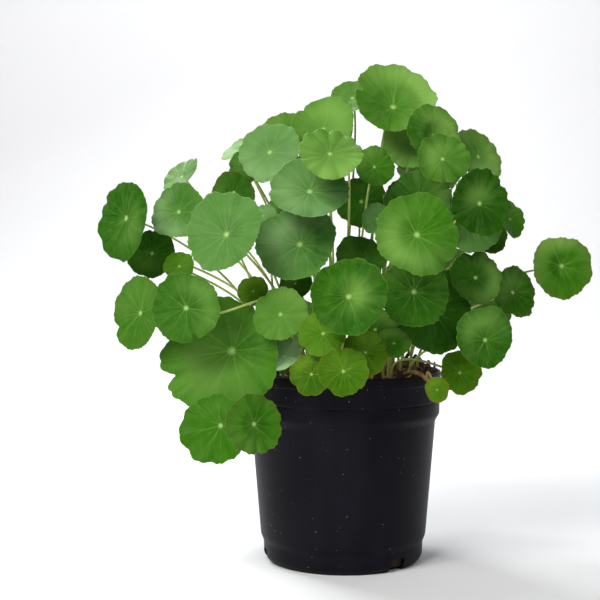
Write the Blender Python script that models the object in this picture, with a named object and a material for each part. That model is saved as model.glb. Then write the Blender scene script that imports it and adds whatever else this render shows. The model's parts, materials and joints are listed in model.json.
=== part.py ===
"""A potted pennywort: a black nursery pot, its potting mix, and round leaves on long stalks.

The origin is the centre of the pot's flat base, +Z is up and -Y is the side that faces the viewer.
The solids are in metres. The leaf list gives whole millimetres and degrees.
"""

import itertools
import math
from typing import NamedTuple

import bmesh
import bpy
import numpy as np
from mathutils import Matrix, Vector
from mathutils.bvhtree import BVHTree

MM = 0.001
DOWN = np.array((0.0, 0.0, -1.0))

# Pot: a five-inch nursery pot with a stepped collar and three drainage notches
POT_SIDES = 28
POT_HEIGHT = 127.0 * MM
POT_WALL = 1.4 * MM
POT_FLOOR = 2.0 * MM
POT_BASE_RADIUS = 50.0 * MM
POT_BAND_RADIUS = 53.6 * MM
POT_SHOULDER_RADIUS = 61.9 * MM
POT_COLLAR_RADIUS = 64.6 * MM
POT_LIP_RADIUS = 65.3 * MM
NOTCH_WIDTH = 12.0 * MM
NOTCH_HEIGHT = 8.6 * MM
NOTCH_DEPTH = 16.0 * MM
NOTCH_CORNER = 1.5 * MM
NOTCH_BEARINGS = (40.0, -80.0, 160.0)

# Potting mix: fills the pot to just under its rim, with a low mound and a heap at the right
SOIL_GAP = 0.3 * MM
SOIL_EDGE_HEIGHT = 120.5 * MM
SOIL_MOUND = 4.5 * MM
SOIL_LUMP = 0.8 * MM
SOIL_HEAP = 14.0 * MM
SOIL_HEAP_MIDDLE = (46.0 * MM, 8.0 * MM)
SOIL_HEAP_SPREAD = 17.0 * MM
SOIL_RINGS = (0.80, 0.50, 0.20)

# Blades: sharp at the margin and thicker towards the stalk
MARGIN_POINTS = 16
INNER_POINTS = 8
INNER_REACH = 0.55
BLADE_TOP = 0.4 * MM
BLADE_UNDER = 0.5 * MM
ROOT_DEPTH = 1.0 * MM
OUTLINE_WAVES = ((2, 0.030), (3, 0.028), (5, 0.018))
HEIGHT_WAVES = ((2, 0.045), (3, 0.040))

# Stalks and creeping stems
STALK_FOOT_RADIUS = 1.15 * MM
STALK_TOP_RADIUS = 0.85 * MM
STALK_SPANS = 4
STALK_CROWDING = 1.4
STALK_RISES = (0.5, 0.7, 0.35, 1.0, 1.35)
STALK_BENDS = (0.14, 0.22, 0.09, 0.32)
STALK_BOWS = (0.0, 0.08, -0.08, 0.16, -0.16, 0.26, -0.26)
STALK_DIPS = (0.0, 0.7)
RUNNER_HALF_WIDTH = 1.3 * MM
RUNNER_SHOOT_LIFT = 1.5 * MM
RUNNER_FOOTPRINT = 2.5 * MM
RUNNER_LIFT = 0.2 * MM

# Room kept between neighbours, from middle line to middle line or middle surface
BLADE_TO_BLADE = 2.0 * MM
BLADE_EDGE_SPARE = 1.6 * MM
STALK_TO_BLADE = 2.3 * MM
STALK_TO_STALK = 3.1 * MM
BLADE_BALL = 1.3
PAIR_BALL = 1.15
SAMPLE_SPOKES = 24
SAMPLE_REACHES = (0.0, 0.3, 0.55, 0.8, 1.0)
STALK_JOIN_REACH = 4.5 * MM
STALK_STEPS = (22, 14, 9, 5)
STALK_START_STEPS = 3
SIGHT_REACH = 0.98
SIGHT_SLACK = 0.002
SIGHT_RIM = 4.0 * MM
SIGHT_LEAST = 1e-9
SHY_FEET = 6
SHY_LEAVES = ("leaf_09", "leaf_12", "leaf_27", "leaf_38")
RUNNER_STEPS = 8
OWN_BLADE_ROOM = 1.8 * MM
RIM_INNER_ROOM = 4.5 * MM
RIM_ROOM = 2.0 * MM
SETTLE_STEP = 0.5 * MM
SETTLE_ROUNDS = 160
REST_GAP = 0.3 * MM

# The viewer's eye, along whose lines of sight the blades part from each other
EYE = np.array((-29.0, -870.0, 213.0)) * MM

# Where stalks may leave the potting mix
FOOT_SPOTS = 130
FOOT_FIELD_RADIUS = 51.0 * MM
FOOT_FIELD_SHARE = 0.9
FOOT_REACH_SHARE = 0.42
GOLDEN_ANGLE = math.pi * (3.0 - math.sqrt(5.0))

POT_COLOUR = (0.016, 0.015, 0.022)
SOIL_COLOUR = (0.085, 0.040, 0.022)
RUNNER_COLOUR = (0.19, 0.085, 0.030)
TONES = {
    "bright": (0.050, 0.205, 0.016),
    "deep": (0.022, 0.110, 0.012),
    "pale": (0.115, 0.290, 0.085),
    "young": (0.180, 0.330, 0.020),
}


class Leaf(NamedTuple):
    """A leaf by the middle of its blade, the blade's radius, and the way its face looks.

    across, up and toward (the viewer) are millimetres. turn is degrees from facing the viewer
    round to the right, and lean is degrees from facing straight up. cup is how far the margin
    stands over the eye, and eye is how far the stalk joins off the middle, across and up.
    """

    name: str
    across: float
    up: float
    toward: float
    radius: float
    turn: float
    lean: float
    cup: float
    tone: str = "bright"
    eye: tuple = (0.0, 0.0)


class Runner(NamedTuple):
    """A creeping stem: its route in millimetres (None lies on the potting mix) and its leaves.

    Each leaf comes with the number of the route point that it grows from.
    """

    name: str
    route: tuple
    leaves: tuple


LEAVES = (
    # the blade with the least room for its stalk, which is therefore led up first
    Leaf("leaf_27", 58, 263, 73, 17, 10, 65, 2, "bright"),
    # the left side, from the outer blades inward
    Leaf("leaf_01", -141, 226, 35, 25, -45, 84, 2, "bright", (1, 2)),
    Leaf("leaf_02", -107, 256, 5, 15, -50, 48, 2, "deep"),
    Leaf("leaf_03", -107, 232, 30, 19, -25, 72, 2, "pale"),
    Leaf("leaf_04", -126, 205, 16, 17, -20, 80, 2, "deep"),
    Leaf("leaf_05", -75, 219, 78, 25, -25, 75, 2, "pale", (2, -2)),
    Leaf("leaf_06", -71, 244, 45, 14, 10, 60, 2, "deep"),
    Leaf("leaf_08", -129, 168, 55, 23, -42, 82, 3, "deep"),
    Leaf("leaf_09", -99, 172, 72, 22, -10, 72, 2, "bright"),
    Leaf("leaf_10", -78, 141, 60, 37, -15, 80, 3, "bright", (7, 4)),
    Leaf("leaf_11", -81, 96, 68, 22, -20, 80, 3, "bright", (3, 3)),
    Leaf("leaf_12", -58, 102, 84, 19, 30, 84, 2, "bright", (1, 0)),
    # the crown
    Leaf("leaf_13", 31, 301, 38, 26, 0, 55, 6, "bright", (-1, -4)),
    Leaf("leaf_14", 5, 306, 20, 15, -20, 50, 2, "bright"),
    Leaf("leaf_15", -14, 287, 34, 20, -10, 65, 2, "young", (0, -3)),
    Leaf("leaf_16", -48, 269, 48, 20, -15, 70, 2, "pale"),
    Leaf("leaf_16_behind", -40, 280, 30, 16, -10, 70, 2, "bright"),
    Leaf("leaf_17", -72, 273, 4, 10, -50, 46, 1, "pale"),
    Leaf("leaf_18", -64, 261, 25, 12, -20, 70, 1, "deep"),
    Leaf("leaf_19", -11, 265, 82, 20, 5, 49, 2, "bright", (0, 1)),
    Leaf("leaf_20", -23, 245, 64, 25, -5, 50, 2, "bright", (0, -2)),
    Leaf("leaf_21", -31, 211, 56, 25, -10, 68, 4, "pale", (2, 0)),
    Leaf("leaf_24", 18, 260, 45, 13, 10, 75, 2, "bright"),
    Leaf("leaf_25", 11, 239, 18, 17, 0, 80, 2, "deep"),
    Leaf("leaf_26", 55, 279, 50, 20, 25, 70, 2, "bright"),
    Leaf("leaf_26_behind", 43, 276, 26, 19, -10, 65, 2, "bright"),
    # the right side
    Leaf("leaf_28", 87, 268, 20, 20, 38, 62, 1, "pale"),
    Leaf("leaf_29", 80, 236, 78, 21, 25, 80, 3, "deep"),
    Leaf("leaf_30", 103, 227, 50, 13, 50, 75, 2, "bright"),
    Leaf("leaf_31", 46, 239, 50, 21, -10, 60, 2, "deep"),
    Leaf("leaf_32", 41, 217, 90, 25, 5, 84, 3, "bright"),
    Leaf("leaf_33", 19, 227, 62, 10, -30, 80, 2, "pale"),
    Leaf("leaf_34", 79, 225, 45, 20, 0, 80, 2, "bright"),
    Leaf("leaf_34_behind", 93, 218, 28, 13, 10, 80, 2, "deep"),
    Leaf("leaf_35", 141, 196, 25, 21, 15, 85, 2, "bright", (0, 1)),
    Leaf("leaf_36", 82, 190, 48, 17, 10, 75, 2, "deep"),
    Leaf("leaf_37", 108, 180, 33, 17, 30, 80, 2, "bright"),
    Leaf("leaf_38", 84, 154, 70, 19, 15, 80, 2, "bright", (1, -2)),
    Leaf("leaf_39", 41, 182, 72, 22, 5, 85, 3, "bright"),
    Leaf("leaf_40", 55, 169, 50, 26, 10, 85, 2, "deep"),
    # the middle of the front
    Leaf("leaf_42", 0, 180, 95, 23, 0, 84, 5, "bright"),
    # the crown's middle and the back, which the front hides
    Leaf("leaf_crown_1", -15, 262, -5, 18, 180, 25, 2, "bright"),
    Leaf("leaf_crown_2", 55, 255, -10, 20, 140, 30, 2, "bright"),
    Leaf("leaf_crown_3", -25, 236, -36, 20, -160, 36, 2, "deep"),
    Leaf("leaf_back_1", -29, 240, -80, 22, -175, 72, 3, "bright"),
    Leaf("leaf_back_2", 55, 221, -85, 26, 160, 74, 4, "bright"),
    Leaf("leaf_back_3", -82, 220, -60, 25, -145, 74, 3, "pale"),
    Leaf("leaf_back_4", 98, 237, -50, 23, 130, 66, 2, "bright"),
    Leaf("leaf_back_5", -13, 288, -50, 22, -170, 52, 3, "bright"),
    Leaf("leaf_back_6", 36, 304, -31, 18, 165, 42, 2, "pale"),
    Leaf("leaf_back_7", 62, 281, -50, 22, 145, 58, 3, "deep"),
    Leaf("leaf_back_8", -49, 276, -45, 18, -155, 55, 2, "bright"),
)

RUNNERS = (
    Runner(
        "creeping_stem_front",
        ((-20, -42, None), (-9, -48, None), (3, -49, None), (14, -47, None), (25, -42, None)),
        (
            (0, Leaf("low_leaf_49", -22, 132, 80, 13, -15, 85, 2, "young")),
            (1, Leaf("low_leaf_50", -3, 135, 92, 15, 0, 85, 2, "young")),
            (2, Leaf("low_leaf_51", 11, 145, 78, 14, 10, 68, 1, "young")),
            (3, Leaf("low_leaf_52", 18, 158, 60, 14, 0, 80, 1, "deep")),
        ),
    ),
    Runner(
        "creeping_stem_middle",
        ((-24, -12, None), (-14, -18, None), (-3, -21, None), (8, -20, None), (17, -14, None)),
        (
            (0, Leaf("low_leaf_44", -41, 168, 70, 17, -5, 72, 2, "bright")),
            (1, Leaf("low_leaf_47", -15, 157, 82, 15, -10, 70, 1, "young")),
            (2, Leaf("low_leaf_43", 9, 201, 48, 16, 0, 70, 2, "deep")),
            (4, Leaf("low_leaf_41", 29, 150, 70, 11, 0, 50, 1, "bright")),
        ),
    ),
    Runner(
        "creeping_stem_right",
        (
            (20, -28, None),
            (30, -34, None),
            (38, -41, 127.4),
            (44.5, -49, 129.9),
            (51, -55, 126),
            (55, -58, 120),
        ),
        (
            (1, Leaf("low_leaf_54", 73, 129, 42, 14, 15, 80, 1, "young")),
            (4, Leaf("low_leaf_55", 56, 121, 66, 8, 10, 85, 1, "young")),
        ),
    ),
    Runner(
        "creeping_stem_left",
        ((-30, -33, None), (-37, -26, None), (-42, -17, None), (-45, -7, None), (-46, 3, None)),
        (
            (0, Leaf("low_leaf_48", -39, 141, 58, 13, -30, 50, 2, "pale")),
            (1, Leaf("low_leaf_46", -32, 186, 38, 11, -10, 75, 1, "deep")),
            (2, Leaf("low_leaf_45", -59, 181, 35, 10, -10, 75, 1, "young")),
            (3, Leaf("low_leaf_07", -106, 197, 40, 10, -10, 70, 1, "young")),
            (4, Leaf("low_leaf_22", -52, 229, 50, 8, -10, 60, 1, "pale")),
        ),
    ),
    Runner(
        "creeping_stem_back_left",
        ((-44, 16, None), (-39, 26, None), (-31, 34, None), (-22, 41, None), (-12, 45, None)),
        (
            (0, Leaf("low_back_leaf_1", -109, 166, -55, 19, -130, 80, 2, "bright")),
            (1, Leaf("low_back_leaf_2", -101, 135, -60, 20, -135, 86, 2, "young")),
            (2, Leaf("low_back_leaf_3", -67, 134, -85, 21, -150, 86, 3, "bright")),
            (3, Leaf("low_back_leaf_8", -75, 235, -15, 17, -130, 42, 2, "deep")),
            (4, Leaf("low_back_leaf_4", -29, 150, -97, 20, -172, 84, 2, "deep")),
        ),
    ),
    Runner(
        "creeping_stem_back_right",
        ((45, 12, None), (42, 23, None), (35, 33, None), (26, 41, None), (15, 46, None)),
        (
            (0, Leaf("low_back_leaf_5", 103, 164, -60, 21, 135, 80, 3, "bright")),
            (1, Leaf("low_back_leaf_9", 84, 187, -62, 20, 145, 78, 2, "deep")),
            (2, Leaf("low_back_leaf_6", 54, 177, -95, 25, 160, 80, 3, "bright")),
            (3, Leaf("low_back_leaf_10", 45, 236, -40, 22, 160, 38, 2, "bright")),
            (4, Leaf("low_back_leaf_7", 7, 169, -107, 25, 180, 82, 4, "bright")),
        ),
    ),
)


class Blade:
    """A leaf's blade as a frame in space with an outline and a height over its plane."""

    def __init__(self, leaf, number):
        turn = math.radians(leaf.turn)
        lean = math.radians(leaf.lean)
        self.leaf = leaf
        self.radius = leaf.radius * MM
        self.cup = leaf.cup * MM
        self.eye = np.array(leaf.eye) * MM
        self.middle = np.array((leaf.across, -leaf.toward, leaf.up)) * MM
        level = np.array((math.sin(turn), -math.cos(turn), 0.0))
        self.normal = math.sin(lean) * level - math.cos(lean) * DOWN
        self.across = np.array((math.cos(turn), math.sin(turn), 0.0))
        self.upward = np.cross(self.normal, self.across)
        chance = np.random.default_rng(number)
        self.outline_phases = chance.uniform(0.0, math.tau, len(OUTLINE_WAVES))
        self.height_phases = chance.uniform(0.0, math.tau, len(HEIGHT_WAVES))

    def outline(self, angle):
        """The margin's distance from the middle in the direction of angle."""
        waves = zip(OUTLINE_WAVES, self.outline_phases)
        ripple = sum(size * np.cos(count * angle + phase) for (count, size), phase in waves)
        return self.radius * (1.0 + ripple)

    def height(self, u, v):
        """How far the blade stands over its plane at u across and v upward."""
        du = u - self.eye[0]
        dv = v - self.eye[1]
        angle = np.arctan2(dv, du)
        waves = zip(HEIGHT_WAVES, self.height_phases)
        ripple = sum(size * np.cos(count * angle + phase) for (count, size), phase in waves)
        return (du**2 + dv**2) / self.radius**2 * (self.cup + self.radius * ripple)

    def point(self, reach, angle, offset=0.0):
        """A point of the blade, from the eye (reach 0) to the margin (reach 1)."""
        margin = self.outline(angle) * np.array((math.cos(angle), math.sin(angle)))
        u, v = self.eye + reach * (margin - self.eye)
        return self.middle + u * self.across + v * self.upward + (self.height(u, v) + offset) * self.normal

    def root(self):
        """Where the stalk ends, under the eye."""
        u, v = self.eye
        return self.middle + u * self.across + v * self.upward - ROOT_DEPTH * self.normal

    def samples(self):
        """Points all over the blade, for measuring its room."""
        angles = [math.tau * step / SAMPLE_SPOKES for step in range(SAMPLE_SPOKES)]
        return np.array([self.point(reach, angle) for reach in SAMPLE_REACHES for angle in angles])

    def over(self, points, spare):
        """Each point's height over the blade's surface, infinite past its outline and the spare."""
        local = points - self.middle
        u = local @ self.across
        v = local @ self.upward
        inside = np.hypot(u, v) < self.outline(np.arctan2(v, u)) + spare
        return np.where(inside, local @ self.normal - self.height(u, v), np.inf)

    def blocked(self, points):
        """Which of the points come too near this blade for a stalk."""
        near = np.linalg.norm(points - self.middle, axis=-1) < BLADE_BALL * self.radius
        result = np.zeros(near.shape, dtype=bool)
        result[near] = np.abs(self.over(points[near], BLADE_EDGE_SPARE)) < STALK_TO_BLADE
        return result

    def crowds(self, other):
        """Whether this blade's surface comes too near the other's or passes through it."""
        rise = other.over(self.samples(), BLADE_EDGE_SPARE)
        rise = rise[np.isfinite(rise)]
        return rise.size > 0 and rise.min() < BLADE_TO_BLADE and rise.max() > -BLADE_TO_BLADE

    def slide(self, distance):
        """Move the blade towards the viewer's eye by distance."""
        sight = EYE - self.middle
        self.middle = self.middle + sight / np.linalg.norm(sight) * distance


def settle(blades):
    """Part the blades along the viewer's lines of sight until none crowds another."""
    for _ in range(SETTLE_ROUNDS):
        moves = np.zeros(len(blades))
        for first, blade in enumerate(blades):
            for second in range(first + 1, len(blades)):
                other = blades[second]
                if np.linalg.norm(blade.middle - other.middle) > PAIR_BALL * (blade.radius + other.radius):
                    continue
                if blade.crowds(other) or other.crowds(blade):
                    sign = 1.0 if blade.leaf.toward >= other.leaf.toward else -1.0
                    moves[first] += sign
                    moves[second] -= sign
        if not moves.any():
            return
        for blade, move in zip(blades, moves):
            blade.slide(SETTLE_STEP * float(np.clip(move, -1.0, 1.0)))
    raise RuntimeError("the blades still crowd each other")


def bezier(ends, parameters):
    """Points of a cubic curve at the parameters, for a stack of four-point curves."""
    t = parameters[:, None]
    weights = ((1 - t) ** 3, 3 * t * (1 - t) ** 2, 3 * t**2 * (1 - t), t**3)
    return sum(weight * end[..., None, :] for weight, end in zip(weights, ends))


def dense(path, counts):
    """Points along the path's straight spans, each span cut into its count of steps."""
    pieces = []
    for span, count in enumerate(counts):
        steps = np.arange(count)[:, None] / count
        pieces.append(path[..., span, None, :] * (1 - steps) + path[..., span + 1, None, :] * steps)
    return np.concatenate([*pieces, path[..., -1:, :]], axis=-2)


def dense_runner(path):
    """Points along a creeping stem's middle line."""
    return dense(path, [RUNNER_STEPS] * (len(path) - 1))


def stalk_choices(foot, blade):
    """Curved paths from the foot to the blade's underside, the plainest first."""
    root = blade.root()
    length = np.linalg.norm(root - foot)
    flat = root - foot
    sideways = np.array((-flat[1], flat[0], 0.0)) / max(np.hypot(flat[0], flat[1]), MM)
    choices = list(itertools.product(STALK_DIPS, STALK_BOWS, STALK_RISES, STALK_BENDS))
    rises = np.array([(0.0, 0.0, rise) for _, _, rise, _ in choices])
    bows = np.array([bow * sideways for _, bow, _, _ in choices])
    ends = np.array([bend * (blade.normal + (0.0, 0.0, dip)) for dip, _, _, bend in choices])
    first = foot + length * (rises + bows)
    second = root - length * (ends - bows)
    steps = np.arange(STALK_SPANS + 1) / STALK_SPANS
    parameters = 1.0 - (1.0 - steps) ** STALK_CROWDING
    start = np.broadcast_to(foot, first.shape)
    end = np.broadcast_to(root, first.shape)
    return bezier((start, first, second, end), parameters)


def clear_of_pot(points):
    """Whether each point keeps off the pot's rim and the potting mix."""
    reach = np.hypot(points[..., 0], points[..., 1])
    in_rim = (reach > POT_COLLAR_RADIUS - RIM_INNER_ROOM) & (reach < POT_LIP_RADIUS + RIM_ROOM)
    low = points[..., 2] < POT_HEIGHT + RIM_ROOM
    ground = soil_height(reach, np.arctan2(points[..., 1], points[..., 0])) + SOIL_LUMP
    buried = (reach <= POT_COLLAR_RADIUS) & (points[..., 2] < ground + STALK_FOOT_RADIUS)
    return ~((in_rim & low) | buried)


def shown(points, blades):
    """How many of the points the viewer sees pass before a blade or before the pot's wall."""
    middles = np.array([blade.middle for blade in blades]) - EYE
    normals = np.array([blade.normal for blade in blades])
    radii = np.array([blade.radius for blade in blades])
    rays = points - EYE
    along = rays @ normals.T
    share = np.sum(middles * normals, axis=1) / np.where(np.abs(along) < SIGHT_LEAST, SIGHT_LEAST, along)
    meeting = share[..., None] * rays[:, None, :] - middles
    within = np.linalg.norm(meeting, axis=2) < SIGHT_REACH * radii
    hidden = (within & (share > 0) & (share < 1 - SIGHT_SLACK)).any(axis=1)
    before = (within & (share > 1 + SIGHT_SLACK)).any(axis=1)
    outside = np.hypot(points[:, 0], points[:, 1]) > POT_COLLAR_RADIUS
    over_pot = outside & (points[:, 1] < 0) & (np.abs(points[:, 0]) < POT_COLLAR_RADIUS)
    over_pot &= points[:, 2] < POT_HEIGHT + SIGHT_RIM
    return int((~hidden & (before | over_pot)).sum())


def find_stalk(blade, blades, feet, taken):
    """The first path to the blade that keeps clear of every blade, stalk and the pot.

    A shy blade takes the one of the first feet's paths that shows least before blades and pot.
    """
    shy = blade.leaf.name in SHY_LEAVES
    best = None
    least = math.inf
    for tried, foot in enumerate(feet):
        if best is not None and tried >= SHY_FEET:
            break
        paths = stalk_choices(foot, blade)
        points = dense(paths, STALK_STEPS)
        free = clear_of_pot(points[:, STALK_START_STEPS:]).all(axis=1)
        own = blade.over(points, BLADE_EDGE_SPARE)
        joining = np.linalg.norm(points - blade.root(), axis=2) < STALK_JOIN_REACH
        free &= (joining | ~np.isfinite(own) | (own < -OWN_BLADE_ROOM)).all(axis=1)
        for other in blades:
            if other is not blade:
                free[free] = ~other.blocked(points[free]).any(axis=1)
        for choice in np.flatnonzero(free):
            apart = np.linalg.norm(taken[None, :, :] - points[choice][:, None, :], axis=2)
            if apart.min() <= STALK_TO_STALK:
                continue
            if not shy:
                return paths[choice]
            seen = shown(points[choice], blades)
            if seen < least:
                best = paths[choice]
                least = seen
            if seen == 0:
                return best
    return best


def soil_height(reach, angle):
    """Height of the potting mix's surface: a low mound with soft lumps and a heap at the right."""
    share = reach / POT_COLLAR_RADIUS
    lumps = np.sin(3 * angle + 9 * share) + np.sin(5 * angle - 7 * share + 1.0)
    heap_x, heap_y = SOIL_HEAP_MIDDLE
    off = np.hypot(reach * np.cos(angle) - heap_x, reach * np.sin(angle) - heap_y)
    heap = SOIL_HEAP * np.exp(-((off / SOIL_HEAP_SPREAD) ** 2))
    mound = SOIL_MOUND * (1 - share**2) + SOIL_LUMP * share * (1 - share) * 2 * lumps
    return SOIL_EDGE_HEIGHT + mound + heap


def finish(name, colour, roughness):
    """A plain Principled material."""
    material = bpy.data.materials.new(name)
    material.use_nodes = True
    shader = material.node_tree.nodes["Principled BSDF"]
    shader.inputs["Base Color"].default_value = (*colour, 1.0)
    shader.inputs["Roughness"].default_value = roughness
    shader.inputs["Metallic"].default_value = 0.0
    return material


def add_object(name, bm, material, sharp_degrees=40.0):
    """Turn a bmesh into a named, smooth-shaded object of the scene."""
    bmesh.ops.recalc_face_normals(bm, faces=bm.faces)
    mesh = bpy.data.meshes.new(name)
    bm.to_mesh(mesh)
    bm.free()
    mesh.shade_smooth()
    mesh.set_sharp_from_angle(angle=math.radians(sharp_degrees))
    mesh.materials.append(material)
    thing = bpy.data.objects.new(name, mesh)
    bpy.context.scene.collection.objects.link(thing)
    return thing


def ring(bm, radius, height, count=POT_SIDES):
    """A level ring of vertices around the Z axis."""
    angles = [math.tau * step / count for step in range(count)]
    return [bm.verts.new((radius * math.cos(a), radius * math.sin(a), height)) for a in angles]


def bridge(bm, lower, upper):
    """Quads between two rings of as many vertices."""
    count = len(lower)
    for step in range(count):
        after = (step + 1) % count
        bm.faces.new((lower[step], lower[after], upper[after], upper[step]))


def band(bm, inner, outer):
    """Triangles from a ring to one of twice as many vertices."""
    count = len(inner)
    for step in range(count):
        after = (step + 1) % count
        middle = outer[2 * step + 1]
        bm.faces.new((inner[step], outer[2 * step], middle))
        bm.faces.new((inner[step], middle, inner[after]))
        bm.faces.new((inner[after], middle, outer[2 * after % len(outer)]))


def pot_outside():
    """The pot's outer profile from the base up, as radius and height."""
    return (
        (POT_BASE_RADIUS, 0.0),
        (POT_BAND_RADIUS - 0.3 * MM, 4.0 * MM),
        (POT_BAND_RADIUS, 13.0 * MM),
        (POT_BAND_RADIUS + 2.0 * MM, 17.6 * MM),
        (POT_SHOULDER_RADIUS + 0.2 * MM, 94.0 * MM),
        (POT_COLLAR_RADIUS - 0.1 * MM, 99.0 * MM),
        (POT_COLLAR_RADIUS, 119.2 * MM),
        (POT_LIP_RADIUS, 120.2 * MM),
        (POT_LIP_RADIUS, POT_HEIGHT),
    )


def pot_inside():
    """The pot's inner profile from the rim down to the floor."""
    return (
        (POT_LIP_RADIUS - 2.0 * MM, POT_HEIGHT),
        (POT_COLLAR_RADIUS - POT_WALL, 125.8 * MM),
        (POT_COLLAR_RADIUS - POT_WALL, 99.4 * MM),
        (POT_SHOULDER_RADIUS - POT_WALL, 93.0 * MM),
        (POT_BAND_RADIUS + 2.0 * MM - POT_WALL, 18.2 * MM),
        (POT_BAND_RADIUS - POT_WALL, 13.4 * MM),
        (POT_BASE_RADIUS, POT_FLOOR),
    )


def notch_cutter(bearing):
    """A rounded block that cuts one drainage notch through wall and floor."""
    half = NOTCH_WIDTH / 2
    bm = bmesh.new()
    bmesh.ops.create_cube(bm, size=1.0)
    bmesh.ops.scale(bm, vec=(NOTCH_WIDTH, NOTCH_DEPTH, 2 * NOTCH_HEIGHT), verts=bm.verts)
    upper = [e for e in bm.edges if all(v.co.z > 0 and abs(abs(v.co.x) - half) < MM for v in e.verts)]
    long_edges = [e for e in upper if abs(e.verts[0].co.y - e.verts[1].co.y) > MM]
    bmesh.ops.bevel(bm, geom=long_edges, offset=NOTCH_CORNER, segments=2, affect="EDGES", profile=0.5)
    bmesh.ops.translate(bm, vec=(0.0, -POT_BAND_RADIUS, 0.0), verts=bm.verts)
    turn = Matrix.Rotation(math.radians(bearing), 3, "Z")
    bmesh.ops.rotate(bm, cent=(0, 0, 0), matrix=turn, verts=bm.verts)
    cutter = add_object(f"notch_cutter_{bearing:.0f}", bm, finish("cutter", POT_COLOUR, 0.5))
    cutter.hide_render = True
    cutter.display_type = "WIRE"
    return cutter


def make_pot():
    """The nursery pot, turned from one profile, with its notches cut."""
    bm = bmesh.new()
    rings = [ring(bm, radius, height) for radius, height in pot_outside() + pot_inside()]
    for lower, upper in zip(rings, rings[1:]):
        bridge(bm, lower, upper)
    bm.faces.new(rings[0])
    bm.faces.new(rings[-1])
    pot = add_object("pot", bm, finish("pot_plastic", POT_COLOUR, 0.42))
    for bearing in NOTCH_BEARINGS:
        cut = pot.modifiers.new(f"notch {bearing:.0f}", "BOOLEAN")
        cut.operation = "DIFFERENCE"
        cut.solver = "EXACT"
        cut.object = notch_cutter(bearing)
    return pot


def make_soil():
    """The potting mix, filling the pot with a gap to its wall."""
    bm = bmesh.new()
    wall = [(radius - SOIL_GAP, height) for radius, height in reversed(pot_inside()[2:])]
    wall[0] = (wall[0][0], wall[0][1] + SOIL_GAP)
    rings = [ring(bm, radius, height) for radius, height in wall]
    edge_radius = POT_COLLAR_RADIUS - POT_WALL - SOIL_GAP
    for share in (1.0, *SOIL_RINGS):
        surface = ring(bm, edge_radius * share, 0.0)
        for vert in surface:
            vert.co.z = soil_height(edge_radius * share, math.atan2(vert.co.y, vert.co.x))
        rings.append(surface)
    for lower, upper in zip(rings, rings[1:]):
        bridge(bm, lower, upper)
    bm.faces.new(rings[0])
    top = bm.verts.new((0.0, 0.0, soil_height(0.0, 0.0)))
    for step, vert in enumerate(rings[-1]):
        bm.faces.new((vert, rings[-1][(step + 1) % POT_SIDES], top))
    bmesh.ops.triangulate(bm, faces=bm.faces)
    return add_object("potting_mix", bm, finish("potting_mix", SOIL_COLOUR, 0.95))


def surface_under(tree, x, y, spread):
    """The highest the potting mix reaches within spread of a spot."""
    offsets = ((0, 0), (spread, 0), (-spread, 0), (0, spread), (0, -spread))
    hits = [tree.ray_cast(Vector((x + dx, y + dy, 1.0)), Vector((0, 0, -1)))[0] for dx, dy in offsets]
    return max(hit.z for hit in hits if hit is not None)


def foot_spots(tree):
    """Spots on the potting mix in an even spiral, just over its surface."""
    spots = []
    for step in range(FOOT_SPOTS):
        reach = FOOT_FIELD_RADIUS * math.sqrt((step + 0.5) / FOOT_SPOTS)
        x = reach * math.cos(step * GOLDEN_ANGLE)
        y = reach * math.sin(step * GOLDEN_ANGLE)
        spots.append((x, y, surface_under(tree, x, y, STALK_FOOT_RADIUS) + REST_GAP))
    return np.array(spots)


def feet_for(blade, spots):
    """The spots in the order that suits the blade, nearest to under its inner side first."""
    flat = blade.middle[:2]
    distance = max(np.hypot(*flat), MM)
    wanted = flat / distance * min(FOOT_REACH_SHARE * distance, FOOT_FIELD_RADIUS * FOOT_FIELD_SHARE)
    return spots[np.argsort(np.hypot(spots[:, 0] - wanted[0], spots[:, 1] - wanted[1]), kind="stable")]


def turned(vector, before, after):
    """The vector carried by the turn that takes one direction to another."""
    rotation = Vector(before).rotation_difference(Vector(after))
    return np.array(rotation @ Vector(vector))


def tube_rings(bm, path, radii, side, facing):
    """Rings of four vertices along a path, carried round its bends without twist."""
    rings = []
    spans = np.diff(path, axis=0)
    spans /= np.linalg.norm(spans, axis=1)[:, None]
    previous = facing
    for step, centre in enumerate(path):
        if step == 0:
            tangent = facing
        elif step == len(spans):
            tangent = DOWN
        else:
            tangent = spans[step - 1] + spans[step]
            tangent /= np.linalg.norm(tangent)
        side = turned(side, previous, tangent)
        other = np.cross(tangent, side)
        corners = ((side, 1), (other, 1), (side, -1), (other, -1))
        rings.append([bm.verts.new(centre + radii[step] * sign * way) for way, sign in corners])
        previous = tangent
    return rings


def grow_leaf(bm, blade, path):
    """Build the blade with its stalk and return the ring at the stalk's foot."""
    angles = [math.tau * step / MARGIN_POINTS for step in range(MARGIN_POINTS)]
    inner_angles = angles[:: MARGIN_POINTS // INNER_POINTS]
    margin = [bm.verts.new(blade.point(1.0, angle)) for angle in angles]
    upper = [bm.verts.new(blade.point(INNER_REACH, angle, BLADE_TOP)) for angle in inner_angles]
    under = [bm.verts.new(blade.point(INNER_REACH, angle, -BLADE_UNDER)) for angle in inner_angles]
    eye = bm.verts.new(blade.point(0.0, 0.0, BLADE_TOP))
    for step, vert in enumerate(upper):
        bm.faces.new((eye, vert, upper[(step + 1) % INNER_POINTS]))
    band(bm, upper, margin)
    radii = np.linspace(STALK_TOP_RADIUS, STALK_FOOT_RADIUS, len(path))
    rings = tube_rings(bm, path[::-1], radii, blade.across, -blade.normal)
    joint = [rings[0][0], rings[0][3], rings[0][2], rings[0][1]]
    band(bm, joint, under)
    band(bm, under, margin)
    for first, second in zip(rings, rings[1:]):
        bridge(bm, first, second)
    return rings[-1]


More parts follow.
